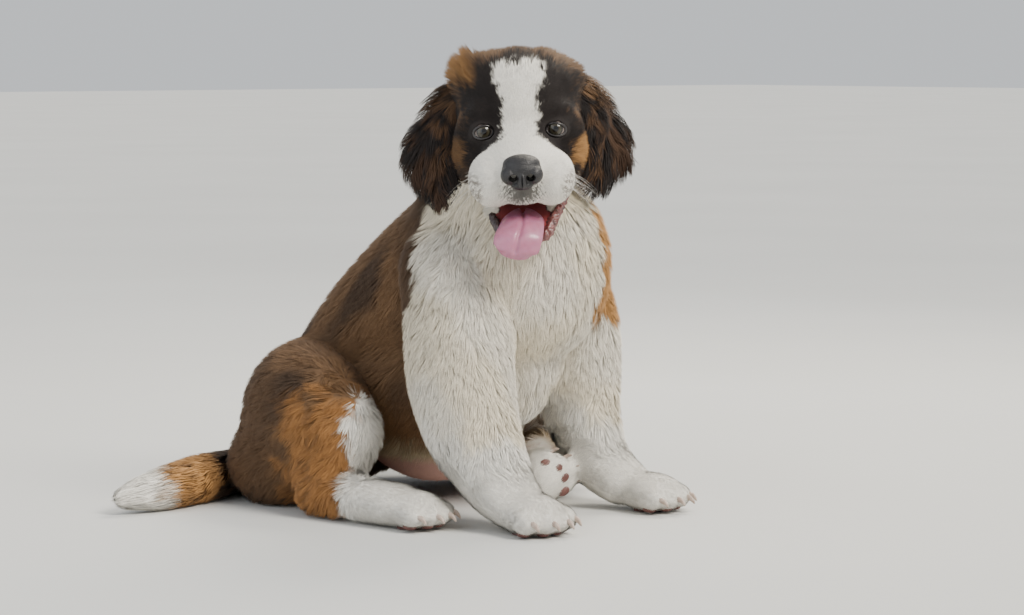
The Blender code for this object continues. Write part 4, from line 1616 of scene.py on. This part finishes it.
    def clumped(self, lines: Array, roots: Array, lay: Lay) -> Array:
        """The lines with their tips drawn toward the tips of a neighbour that leads a clump.

        Args:
            lines: each tuft's middle line.
            roots: where each grows.
            lay: the coat there.

        Returns:
            The lines, bent.
        """
        share = np.clip((np.median(lay.apart) / self.clump_size) ** 2, 0.002, 1.0)
        leads = np.flatnonzero(self.draw.random(len(roots)) < share)
        if not len(leads):
            return lines
        finder = KDTree(len(leads))
        for k, row in enumerate(roots[leads].tolist()):
            finder.insert(row, k)
        finder.balance()
        lead = leads[[finder.find(row)[1] for row in roots.tolist()]]
        near = np.exp(-((np.linalg.norm(roots - roots[lead], axis=1) / (1.6 * self.clump_size)) ** 2))
        t = np.linspace(0, 1, lines.shape[1])[None, :, None] ** 1.4
        return lines + (lines[lead] - lines) * t * (lay.clump * near)[:, None, None]

    def piece(
        self, name: str, lines: Array, overs: Array, ups: Array, lay: Lay, slot: Slot
    ) -> Object:
        """One piece of coat.

        Args:
            name: what it is called.
            lines: each tuft's middle line.
            overs: the way up along each line.
            ups: the skin's normal at each root.
            lay: the coat at the roots.
            slot: the record's slot; not used.

        Returns:
            The piece, a mesh of closed tufts.
        """
        count, knots = lines.shape[:2]
        rings = knots - 1
        along = unit(np.gradient(lines, axis=1))
        across = unit(np.cross(along, overs))
        half = lay.width * self.draw.uniform(0.7, 1.3, count) / 2
        share = np.arange(rings) / rings
        wide = half[:, None, None] * np.interp(share, np.linspace(0, 1, 4), self.width_along)[None, :, None]
        base = lines[:, :rings]
        side, top = across[:, :rings], unit(np.cross(across, along))[:, :rings]
        ring = np.stack([base - side * wide, base + side * wide, base + top * wide * 2 * self.thickness], 2)
        points = np.concatenate([ring.reshape(count, -1, 3), lines[:, -1:]], 1)
        skyward = ups[:, None, None] * self.softness
        bare = 1 - self.softness
        facing = np.stack([-side * bare, side * bare, top * bare], 2) + skyward
        tip = (ups * self.softness + top[:, -1] * bare)[:, None]
        facing = unit(np.concatenate([facing.reshape(count, -1, 3), tip], 1))
        faces = self.tuft_faces(rings)
        each = points.shape[1]
        corners = (faces[None] + (np.arange(count) * each)[:, None, None]).reshape(-1, 3)
        mesh = bpy.data.meshes.new(name)
        mesh.vertices.add(count * each)
        mesh.loops.add(corners.size)
        mesh.polygons.add(len(corners))
        mesh.vertices.foreach_set("co", points.astype(np.float32).ravel())
        mesh.loops.foreach_set("vertex_index", corners.astype(np.int32).ravel())
        mesh.polygons.foreach_set("loop_start", np.arange(0, corners.size, 3, dtype=np.int32))
        mesh.update(calc_edges=True)
        # Painted shade: each tuft's colour darkens toward its root.
        stops = np.linspace(0, 1, len(self.painted_root_shade_along))
        painted_shade = np.interp(np.linspace(0, 1, knots), stops, self.painted_root_shade_along)
        painted_shade = np.concatenate([np.repeat(painted_shade[:rings], 3), painted_shade[-1:]])
        tone = np.clip(self.draw.normal(1.0, self.unlike, count), 0.7, 1.3)
        colours = lay.colour[:, None] * (painted_shade[None] * tone[:, None])[:, :, None]
        colour_on(mesh, self.finish.layer, colours.reshape(-1, 3))
        spot = np.clip(self.map.at(lines[:, 0]), 0.002, 0.998)
        u = np.concatenate([np.tile([-1.0, 1.0, 0.0], rings), [0.0]])
        v = np.concatenate([np.repeat(np.linspace(-1, 1, knots)[:rings], 3), [1.0]])
        patch = spot[:, None] + np.stack([u, v], 1)[None] * self.patch / 2
        flat = patch.reshape(-1, 2)[corners.ravel()]
        mesh.uv_layers.new(name="OFBake").uv.foreach_set("vector", flat.astype(np.float32).ravel())
        piece = link(name, mesh)
        finish_piece(piece, self.fur)
        mesh.normals_split_custom_set_from_vertices(facing.reshape(-1, 3).tolist())
        return piece

    @staticmethod
    def tuft_faces(rings: int) -> Array:
        """The triangles of one tuft: a base, sides between its rings, and a tip.

        Args:
            rings: how many rings of three corners it has.

        Returns:
            The corners of each triangle.
        """
        faces = [(0, 1, 2)]
        for low in range(0, 3 * (rings - 1), 3):
            for k in range(3):
                a, b = low + k, low + (k + 1) % 3
                faces += [(a, a + 3, b + 3), (a, b + 3, b)]
        last = 3 * (rings - 1)
        faces += [(last + k, 3 * rings, last + (k + 1) % 3) for k in range(3)]
        return np.array(faces)


@dataclass
class Skin:
    """The one skin under the coat, fused from body, head and ears, with the coat's markings on it, darkened
    by painted shade.
    """

    finish: CoatFinish
    flesh_nodes: tuple[str, ...] = (
        "torso", "chest", "neck", "head", "jaw", "ear_right", "ear_left", "foreleg_right", "foreleg_left",
        "forepaw_right", "forepaw_left", "thigh_right", "thigh_left", "hindfoot_right", "hindfoot_left",
        "tail", "tail_tip",
    )
    # Painted shade: the skin under the coat wears the coat's colour this much darker, as the coat shades it.
    painted_shade: float = 0.88
    faces: int = 230000

    def build(self, grounds: list[tuple[Object, Matrix, AnyCoat]]) -> Object:
        """Fuses the grounds and colours them.

        Args:
            grounds: each surface with its frame and its coat.

        Returns:
            The skin.
        """
        skin = link("skin", grounds[0][0].data.copy())
        for body, _, _ in grounds[1:]:
            carve(skin, link("part", body.data.copy()), "UNION")
        fewer = skin.modifiers.new("Fewer faces", "DECIMATE")
        fewer.ratio = min(1.0, self.faces / (2 * len(skin.data.polygons)))
        apply_modifiers(skin)
        points = places(skin.data)
        gaps = np.stack([nearest(tree_of(body), points)[2] for body, _, _ in grounds])
        owner = gaps.argmin(0)
        colours = np.zeros((len(points), 3))
        for k, (_, place, coat) in enumerate(grounds):
            mine = owner == k
            own = in_frame(points[mine], place)
            # Painted shade under the coat, then the bare colours of lips, lids and mouth.
            colours[mine] = coat.bare_colour(own, coat.markings(own) * self.painted_shade)
        colour_on(skin.data, self.finish.layer, colours)
        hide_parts(*self.flesh_nodes)
        return finish_piece(skin, self.finish.material())


@dataclass
class Eye:
    """One eyeball with its cornea, and the lids round it."""

    side: Side
    radius: float = 0.0120
    cornea: float = 0.0008
    iris: float = 0.0068
    pupil: float = 0.0031
    opening: tuple[float, float, float] = (0.0100, 0.0057, 0.0055)  # half width, height up, height down
    slant: float = 8.0
    lid_rings: tuple[tuple[float, float], ...] = (
        (0.97, 0.00005), (1.00, 0.0008), (1.08, 0.0016), (1.22, 0.0019), (1.42, 0.0012), (1.62, -0.0012),
    )
    lid_sides: int = 72

    def centre(self) -> Vector:
        """The middle of the eyeball in the head's frame."""
        return Vector((self.side.value * EYE_CENTRE[0], *EYE_CENTRE[1:]))

    def build_ball(self, camera: Vector) -> Object:
        """The eyeball, looking at the camera, with the bulge of its cornea.

        Args:
            camera: where the camera stands.

        Returns:
            The eyeball.
        """
        work = bmesh.new()
        bmesh.ops.create_icosphere(work, subdivisions=6, radius=self.radius)
        for vertex in work.verts:
            off = math.hypot(vertex.co.x, vertex.co.y) / (self.iris * 1.25)
            if vertex.co.z > 0 and off < 1:
                vertex.co.z += self.cornea * (1 - off * off) ** 2
        mesh = bpy.data.meshes.new("eyeball")
        work.to_mesh(mesh)
        work.free()
        ball = link("eyeball_" + self.side.word, mesh)
        centre = HEAD_PLACE @ self.centre()
        gaze = (camera - centre).normalized()
        ball.matrix_world = Matrix.Translation(centre) @ gaze.to_track_quat("Z", "Y").to_matrix().to_4x4()
        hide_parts("eye_" + self.side.word)
        return finish_piece(ball, EyeFinish(self.radius, self.iris, self.pupil).material())

    def build_lids(self, material: bpy.types.Material) -> Object:
        """The rims of both lids as one almond ring that rolls from the eyeball out under the coat.

        Args:
            material: what it wears.

        Returns:
            The lids.
        """
        work = bmesh.new()
        wide, up, down = self.opening
        tilt = math.radians(self.slant) * self.side.value
        rings = []
        for reach, stand in self.lid_rings:
            ring = []
            for k in range(self.lid_sides):
                angle = math.tau * k / self.lid_sides
                x = wide * math.cos(angle) * reach
                z = (up if math.sin(angle) > 0 else down) * math.sin(angle) * reach
                x, z = x * math.cos(tilt) + z * math.sin(tilt), z * math.cos(tilt) - x * math.sin(tilt)
                far = math.hypot(x, z)
                turn = far / self.radius
                out = self.radius + stand
                place = Vector((x / far * math.sin(turn), -math.cos(turn), z / far * math.sin(turn))) * out
                ring.append(work.verts.new(HEAD_PLACE @ (self.centre() + place)))
            rings.append(ring)
        for low, high in zip(rings, rings[1:]):
            for k in range(self.lid_sides):
                after = (k + 1) % self.lid_sides
                work.faces.new((low[k], low[after], high[after], high[k]))
        bmesh.ops.recalc_face_normals(work, faces=work.faces)
        mesh = bpy.data.meshes.new("lids")
        work.to_mesh(mesh)
        work.free()
        lids = link("lids_" + self.side.word, mesh)
        thick = lids.modifiers.new("Thickness", "SOLIDIFY")
        thick.thickness = 0.0008
        thick.offset = -1
        round_off = lids.modifiers.new("Round off", "SUBSURF")
        round_off.levels = 1
        round_off.render_levels = 1
        apply_modifiers(lids)
        return finish_piece(lids, material)


@dataclass(frozen=True)
class EyeFinish:
    """The rings of an eye: pupil, grey-hazel iris with its dark edge, and a little white."""

    radius: float
    iris: float
    pupil: float
    black: Point = (0.003, 0.003, 0.004)
    inner: Point = (0.030, 0.021, 0.011)
    middle: Point = (0.046, 0.041, 0.027)
    edge: Point = (0.006, 0.005, 0.005)
    white: Point = (0.17, 0.135, 0.12)

    def material(self) -> bpy.types.Material:
        """Lays out the rings from the piece's own axis.

        Returns:
            The finish as a material.
        """
        graph = Graph("wet eye")
        place = graph.place()
        flat = graph.add("ShaderNodeVectorMath", {0: place, 1: (1, 1, 0)}, operation="MULTIPLY").outputs[0]
        far = graph.add("ShaderNodeVectorMath", {0: flat}, operation="LENGTH").outputs["Value"]
        share = graph.add("ShaderNodeMath", {0: far, 1: self.radius}, operation="DIVIDE").outputs[0]
        ramp = graph.add("ShaderNodeValToRGB", {"Fac": share})
        pupil, iris = self.pupil / self.radius, self.iris / self.radius
        stops = (
            (0.0, self.black), (pupil * 0.94, self.black), (pupil * 1.06, self.inner),
            ((pupil + iris) / 2, self.middle), (iris * 0.88, self.middle), (iris * 0.97, self.edge),
            (iris * 1.06, self.edge), (iris * 1.14, self.white),
        )
        for where, colour in stops[1:-1]:
            ramp.color_ramp.elements.new(where)
        for element, (where, colour) in zip(ramp.color_ramp.elements, stops):
            element.position = where
            element.color = (*colour, 1.0)
        grain = graph.noise(place, 0.0009)
        shades = graph.grey(graph.spread(grain, 0.55, 1.45))
        graph.feed(graph.shader, {"Base Color": graph.mix(ramp.outputs["Color"], shades, 1.0, "MULTIPLY")})
        graph.feed(graph.shader, {"Roughness": graph.spread(grain, 0.04, 0.09)})
        graph.bump(grain, 0.000004)
        graph.feed(graph.shader, {"Coat Weight": 0.5, "Coat Roughness": 0.03, "Specular IOR Level": 0.3})
        return graph.material


@dataclass
class Nose:
    """The nose leather: a broad pad with two comma-shaped nostrils and a groove down the middle."""

    voxel: float = 0.0008
    rounds: int = 7
    pad: Ball = ((0, -0.1350, -0.0345), (0.0205, 0.0160, 0.0150))
    top: Ball = ((0, -0.1330, -0.0280), (0.0192, 0.0165, 0.0100))
    wing: Ball = ((0.0130, -0.1400, -0.0385), (0.0088, 0.0110, 0.0098))
    column: Ball = ((0, -0.1455, -0.0430), (0.0050, 0.0070, 0.0105))
    foot: Ball = ((0, -0.1385, -0.0490), (0.0115, 0.0100, 0.0055))
    groove: Ball = ((0, -0.1540, -0.0480), (0.0008, 0.0045, 0.0140))
    nostril: tuple[Station, ...] = (
        ((0.0088, -0.1620, -0.0425), 0.0056, 0.0044),
        ((0.0090, -0.1480, -0.0410), 0.0048, 0.0040),
        ((0.0088, -0.1370, -0.0395), 0.0032, 0.0032),
    )
    slit: tuple[Station, ...] = (
        ((0.0110, -0.1530, -0.0440), 0.0026, 0.0020),
        ((0.0165, -0.1500, -0.0465), 0.0021, 0.0015),
        ((0.0220, -0.1420, -0.0465), 0.0016, 0.0010),
    )

    def build(self, material: bpy.types.Material) -> Object:
        """The nose, which takes the place of the plain one.

        Args:
            material: what it wears.

        Returns:
            The nose.
        """
        clay = Clay(HEAD_PLACE)
        clay.ball(self.pad).ball(self.top).pair(self.wing).ball(self.column).ball(self.foot)
        nose = clay.fuse("nose_leather", self.voxel, self.rounds)
        holes = Clay(HEAD_PLACE).ball(self.groove)
        for sign in (-1, 1):
            for stations in (self.nostril, self.slit):
                holes.limb(tuple(((sign * x, y, z), wide, deep) for (x, y, z), wide, deep in stations))
        carve(nose, holes.fuse("holes", self.voxel * 0.7, 2))
        soft = nose.modifiers.new("Soften", "SMOOTH")
        soft.iterations = 2
        apply_modifiers(nose)
        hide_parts("nose")
        return finish_piece(nose, material)


@dataclass
class Mouth:
    """The tongue, hanging over the lower lip, and the lips themselves."""

    tongue: tuple[Station, ...] = (
        ((0, -0.046, -0.073), 0.016, 0.005),
        ((0, -0.084, -0.084), 0.021, 0.0055),
        ((-0.002, -0.112, -0.091), 0.0235, 0.0055),
        ((-0.006, -0.130, -0.102), 0.0250, 0.0052),
        ((-0.009, -0.135, -0.115), 0.0235, 0.0048),
        ((-0.011, -0.133, -0.122), 0.0160, 0.0040),
    )
    cup: float = -0.16
    tongue_voxel: float = 0.0011
    groove: float = 0.0026
    groove_half: float = 0.0024
    lip: tuple[Station, ...] = (
        ((0.0170, -0.1110, -0.1090), 0.0040, 0.0036),
        ((0.0240, -0.1070, -0.1040), 0.0056, 0.0042),
        ((0.0290, -0.0990, -0.0950), 0.0060, 0.0044),
        ((0.0350, -0.0860, -0.0860), 0.0050, 0.0042),
        ((0.0420, -0.0690, -0.0760), 0.0036, 0.0034),
        ((0.0480, -0.0520, -0.0680), 0.0020, 0.0022),
    )
    short_lip: tuple[Station, ...] = (
        ((0.0170, -0.1110, -0.1070), 0.0036, 0.0034),
        ((0.0240, -0.1070, -0.0990), 0.0046, 0.0040),
        ((0.0290, -0.0990, -0.0910), 0.0044, 0.0040),
        ((0.0320, -0.0880, -0.0840), 0.0030, 0.0030),
    )
    lip_side: Point = (0.65, 0.0, -0.76)

    def build_tongue(self, material: bpy.types.Material) -> Object:
        """The tongue with the groove down its middle.

        Args:
            material: what it wears.

        Returns:
            The tongue.
        """
        tongue = Clay(HEAD_PLACE).limb(self.tongue, cup=self.cup).fuse("tongue_flesh", self.tongue_voxel, 5)
        points = places(tongue.data)
        own = in_frame(points, HEAD_PLACE)
        path = np.array([row[0] for row in self.tongue])
        middle = np.interp(own[:, 2], path[::-1, 2], path[::-1, 0])
        off = np.abs(own[:, 0] - middle) / self.groove_half
        up = in_frame(normals(tongue.data) + np.array(HEAD_PLACE.translation), HEAD_PLACE)
        upper = ease(up[:, 2] - up[:, 1], 0.2, 0.8)
        dip = self.groove * np.exp(-(off**2)) * upper
        move_to(tongue.data, points - normals(tongue.data) * dip[:, None])
        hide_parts("tongue")
        return finish_piece(tongue, material)

    def build_lip(self, side: Side, material: bpy.types.Material) -> Object:
        """The soft wet flesh of the lower lip on one side, hanging open beside the tongue.

        Args:
            side: which side it is on.
            material: what it wears.

        Returns:
            The lip.
        """
        stations = self.lip if side is Side.LEFT else self.short_lip
        rows = tuple(((side.value * x, y, z), wide, deep) for (x, y, z), wide, deep in stations)
        across = (side.value * self.lip_side[0], self.lip_side[1], self.lip_side[2])
        lip = Clay(HEAD_PLACE).limb(rows, side=across, cup=0.12).fuse("lip_" + side.word, 0.0011, 4)
        points = places(lip.data)
        bumps = 0.0005 * Ripples(41, 0.006).at(points) + 0.0002 * Ripples(42, 0.003).at(points)
        move_to(lip.data, points + normals(lip.data) * bumps[:, None])
        return finish_piece(lip, material)


@dataclass
class Feet:
    """Claws and pads of the four paws."""

    paws: dict[str, Paw]
    claw: tuple[Station, ...] = (
        ((0, 0.006, 0.0010), 0.0028, 0.0034),
        ((0, -0.001, 0.0002), 0.0024, 0.0030),
        ((0, -0.0052, -0.0028), 0.0016, 0.0021),
        ((0, -0.0074, -0.0055), 0.0007, 0.0010),
    )
    claw_reach: float = 0.0165
    heel_pad: Ball = ((0, 0.000, -0.0195), (0.0160, 0.0135, 0.0085))
    toe_pad: Point = (0.0068, 0.0090, 0.0046)
    pad_low: float = -0.0146
    pad_reach: float = -0.0030
    floor: float = 0.0004

    def build_claws(self, name: str, paw: Paw, material: bpy.types.Material) -> Object:
        """The claws of one paw.

        Args:
            name: the paw's name.
            paw: the paw.
            material: what it wears.

        Returns:
            The claws.
        """
        clay = Clay(BODY_PLACE @ paw.place())
        for spread, reach in zip(paw.spread, paw.reach):
            right, out, low = spread * 1.05, -reach - self.claw_reach, -paw.drop
            clay.limb(tuple(
                ((x + right, y + out, z + low), wide, deep) for (x, y, z), wide, deep in self.claw
            ))
        claws = clay.solid("claws_" + name)
        self.above_floor(claws)
        return finish_piece(claws, material)

    def build_pads(self, name: str, paw: Paw, material: bpy.types.Material) -> Object:
        """The leathery pads under one paw.

        Args:
            name: the paw's name.
            paw: the paw.
            material: what it wears.

        Returns:
            The pads.
        """
        clay = Clay(BODY_PLACE @ paw.place())
        clay.ball(self.heel_pad)
        for side in Side:
            clay.ball(((side.value * 0.010, 0.006, -0.0185), (0.0090, 0.0100, 0.0075)))
        for spread, reach in zip(paw.spread, paw.reach):
            clay.ball(((spread * 0.92, -reach - self.pad_reach, self.pad_low), self.toe_pad))
        pads = clay.fuse("pads_" + name, 0.0012, 4)
        self.above_floor(pads)
        return finish_piece(pads, material)

    def above_floor(self, piece: Object) -> None:
        """Flattens what would reach below the floor.

        Args:
            piece: the piece.
        """
        points = places(piece.data)
        points[:, 2] = np.maximum(points[:, 2], self.floor)
        move_to(piece.data, points)


@dataclass
class Whiskers:
    """Long stiff hairs on the flews and over the eyes."""

    seed: int = 17
    half: float = 0.00016
    steps: int = 7

    def build(self, head: Object, material: bpy.types.Material) -> Object:
        """All whiskers as one piece.

        Args:
            head: what they grow on.
            material: what it wears.

        Returns:
            The whiskers.
        """
        draw = np.random.default_rng(self.seed)
        tree = tree_of(head)
        starts, ways = [], []
        for side in Side:
            for row in range(4):
                for k in range(5):
                    y = -0.118 + 0.011 * k + draw.normal(0, 0.001)
                    z = -0.044 - 0.008 * row + draw.normal(0, 0.001)
                    starts.append((side.value * 0.07, y, z))
                    ways.append((side.value * 1.0, 0.45 + 0.12 * k, -0.35 - 0.10 * row))
        own = np.array(starts) + draw.normal(0, 0.0008, (len(starts), 3))
        roots = nearest(tree, own @ np.array(HEAD_PLACE)[:3, :3].T + np.array(HEAD_PLACE)[:3, 3])[0]
        ways = unit(out_of_frame(unit(np.array(ways)) + draw.normal(0, 0.10, own.shape), HEAD_PLACE))
        length = draw.uniform(0.020, 0.042, len(own))
        fall = np.array([0, 0, -1.0])
        points, faces = [], []
        for root, way, reach in zip(roots, ways, length):
            side = unit(np.cross(way, fall)[None])[0]
            first = len(points)
            for k in range(self.steps):
                t = k / self.steps
                centre = root + way * reach * (t - 0.04) + fall * reach * 0.35 * t * t
                for angle in (0.0, math.tau / 3, 2 * math.tau / 3):
                    off = side * math.cos(angle) + np.cross(side, way) * math.sin(angle)
                    points.append(tuple(centre + off * self.half * (1 - 0.85 * t)))
            points.append(tuple(root + way * reach * 0.96 + fall * reach * 0.35))
            faces += [tuple(first + face) for face in Coat.tuft_faces(self.steps)]
        mesh = bpy.data.meshes.new("whiskers")
        mesh.from_pydata(points, [], faces)
        whiskers = link("whiskers", mesh)
        return finish_piece(whiskers, material)


@dataclass
class Studio:
    """The camera at the photograph's viewing angle, a plain pale floor and soft light."""

    target: Point = (0.05035, -0.043, 0.214496)
    azimuth: float = -40.0
    elevation: float = 5.0
    distance: float = 3.2
    lens: float = 102.3
    floor_size: float = 60.0
    floor: Finish = Finish(
        "pale studio floor", (0.62, 0.62, 0.60), (0.66, 0.66, 0.64), 0.9, 0.004, (0.55, 0.70), 0.0001
    )

    def camera_place(self) -> Vector:
        """Where the camera stands.

        Returns:
            Its place.
        """
        turn, rise = math.radians(self.azimuth), math.radians(self.elevation)
        back = Vector((math.sin(turn) * math.cos(rise), -math.cos(turn) * math.cos(rise), math.sin(rise)))
        return BODY_PLACE @ Vector(self.target) + back * self.distance

    def build_camera(self) -> None:
        """Sets up the camera."""
        camera = bpy.data.objects.new("camera", bpy.data.cameras.new("camera"))
        bpy.context.scene.collection.objects.link(camera)
        camera.location = self.camera_place()
        way = BODY_PLACE @ Vector(self.target) - camera.location
        camera.rotation_euler = way.to_track_quat("-Z", "Y").to_euler()
        camera.data.lens = self.lens
        camera.data.sensor_width = 36.0
        bpy.context.scene.camera = camera

    def build_floor(self) -> None:
        """Lays the floor."""
        mesh = bpy.data.meshes.new("floor")
        half = self.floor_size / 2
        corners = [(-half, -half, 0), (half, -half, 0), (half, half, 0), (-half, half, 0)]
        mesh.from_pydata(corners, [], [(0, 1, 2, 3)])
        floor = link("floor", mesh)
        mesh.materials.append(self.floor.material())

    def build_light(
        self, name: str, way: tuple[float, float], power: float, size: float, tint: Point
    ) -> None:
        """Hangs one soft light.

        Args:
            name: what it is called; the key light is a soft sun, the others are squares.
            way: degrees to the right of the camera, and above the floor.
            power: its strength, or in watts for a square.
            size: the sun's angle, or the square's side.
            tint: its colour.
        """
        sun = name == "key"
        light = bpy.data.lights.new(name, "SUN" if sun else "AREA")
        light.energy, light.color = power, tint
        if sun:
            light.angle = size
        else:
            light.size = size
        lamp = bpy.data.objects.new(name, light)
        bpy.context.scene.collection.objects.link(lamp)
        turn, rise = math.radians(self.azimuth + way[0]), math.radians(way[1])
        out = Vector((math.sin(turn) * math.cos(rise), -math.cos(turn) * math.cos(rise), math.sin(rise)))
        lamp.location = BODY_PLACE @ Vector(self.target) + out * 2.2
        lamp.rotation_euler = out.to_track_quat("Z", "Y").to_euler()

    def build(self) -> None:
        """Sets up all that isn't the puppy."""
        self.build_camera()
        self.build_floor()
        self.build_light("key", (52, 44), 3.9, 0.45, (1.0, 0.95, 0.86))
        self.build_light("fill", (-50, 20), 14.0, 2.0, (0.88, 0.94, 1.0))
        self.build_light("rim", (150, 50), 40.0, 0.9, (1.0, 0.92, 0.78))
        world = bpy.data.worlds.new("studio")
        world.use_nodes = True
        world.node_tree.nodes["Background"].inputs["Color"].default_value = (0.88, 0.91, 0.94, 1.0)
        world.node_tree.nodes["Background"].inputs["Strength"].default_value = 0.80
        bpy.context.scene.world = world


LEATHER = Finish(
    "nose leather", (0.006, 0.0055, 0.0065), (0.018, 0.0165, 0.018), 0.006, 0.0012, (0.36, 0.55), 0.00035,
    wet=0.05, pebbled=True,
)
TONGUE_FLESH = Finish(
    "moist tongue", (0.38, 0.120, 0.200), (0.48, 0.185, 0.280), 0.012, 0.0007, (0.28, 0.48), 0.00020,
    wet=0.35, flesh=0.30, flesh_reach=0.003,
)
LIP_FLESH = Finish(
    "pink lip", (0.24, 0.070, 0.062), (0.040, 0.017, 0.017), 0.007, 0.0009, (0.26, 0.5), 0.0003, wet=0.35,
    flesh=0.25, flesh_reach=0.003,
)
DARK_LIP = Finish(
    "dark lip", (0.012, 0.007, 0.008), (0.045, 0.020, 0.020), 0.006, 0.0009, (0.26, 0.5), 0.0003, wet=0.35
)
LID_RIM = Finish(
    "lid rim", (0.010, 0.008, 0.008), (0.022, 0.016, 0.015), 0.003, 0.0006, (0.25, 0.45), 0.0001, wet=0.3
)
CLAW_HORN = Finish(
    "claw horn", (0.34, 0.24, 0.19), (0.55, 0.45, 0.38), 0.004, 0.0008, (0.28, 0.45), 0.0001, wet=0.15
)
PAD_LEATHER = Finish(
    "pad leather", (0.10, 0.036, 0.030), (0.19, 0.080, 0.066), 0.006, 0.0012, (0.45, 0.65), 0.0003,
    pebbled=True,
)
WHISKER_HAIR = Finish(
    "whisker hair", (0.55, 0.52, 0.48), (0.75, 0.72, 0.68), 0.01, 0.001, (0.35, 0.5), 0.00002
)


def main() -> None:
    """Builds and dresses the whole puppy, then its studio."""
    strays = [thing for thing in bpy.data.objects if "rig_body" not in thing and thing.type != "EMPTY"]
    for stray in strays:
        bpy.data.objects.remove(stray)
    studio = Studio()
    studio.build()
    body_form, head_form = Body(), Head()
    body_coat, head_coat = BodyCoat(body_form), HeadCoat(head_form)
    body = body_form.build(body_coat)
    head = head_form.build(head_coat)
    right_ear = Ear(Side.RIGHT, hang=0.90, drop=0.007, spread=1.0)
    left_ear = Ear(Side.LEFT, hang=0.72, drop=0.003, spread=0.945)
    ears = [right_ear, left_ear]
    flaps = [ear.build() for ear in ears]
    nose = Nose().build(LEATHER.material())
    mouth = Mouth()
    tongue = mouth.build_tongue(TONGUE_FLESH.material())
    lips = [
        mouth.build_lip(Side.LEFT, LIP_FLESH.material()),
        mouth.build_lip(Side.RIGHT, DARK_LIP.material()),
    ]
    rim = LID_RIM.material()
    for side in Side:
        Eye(side).build_ball(studio.camera_place())
        Eye(side).build_lids(rim)
    grounds = [(body, BODY_PLACE, body_coat), (head, HEAD_PLACE, head_coat)]
    grounds += [(flap, HEAD_PLACE, ear) for ear, flap in zip(ears, flaps)]
    skin = Skin(CoatFinish("skin under the coat", grain=0.0012)).build(grounds)
    coat = Coat(skin, CoatFinish("soft fur"))
    face = [Fence(tree_of(nose), 0.0004), Fence(tree_of(tongue), 0.0010)]
    face += [Fence(tree_of(lip), 0.0012) for lip in lips]
    coat.grow(Ground("body", body, BODY_PLACE, body_coat, [], Slot.BROWN))
    coat.grow(Ground("head", head, HEAD_PLACE, head_coat, face, Slot.WHITE))
    for ear, flap in zip(ears, flaps):
        coat.grow(Ground("ear_" + ear.side.word, flap, HEAD_PLACE, ear, [], Slot.BLACK))
    feet = Feet(body_form.paws)
    horn, leather = CLAW_HORN.material(), PAD_LEATHER.material()
    for name, paw in body_form.paws.items():
        feet.build_claws(name, paw, horn)
        feet.build_pads(name, paw, leather)
    Whiskers().build(head, WHISKER_HAIR.material())
    for used in (body, head, *flaps):
        bpy.data.objects.remove(used)


if __name__ == "__main__":
    logging.basicConfig(level=logging.INFO, format="%(name)s: %(message)s")
    main()
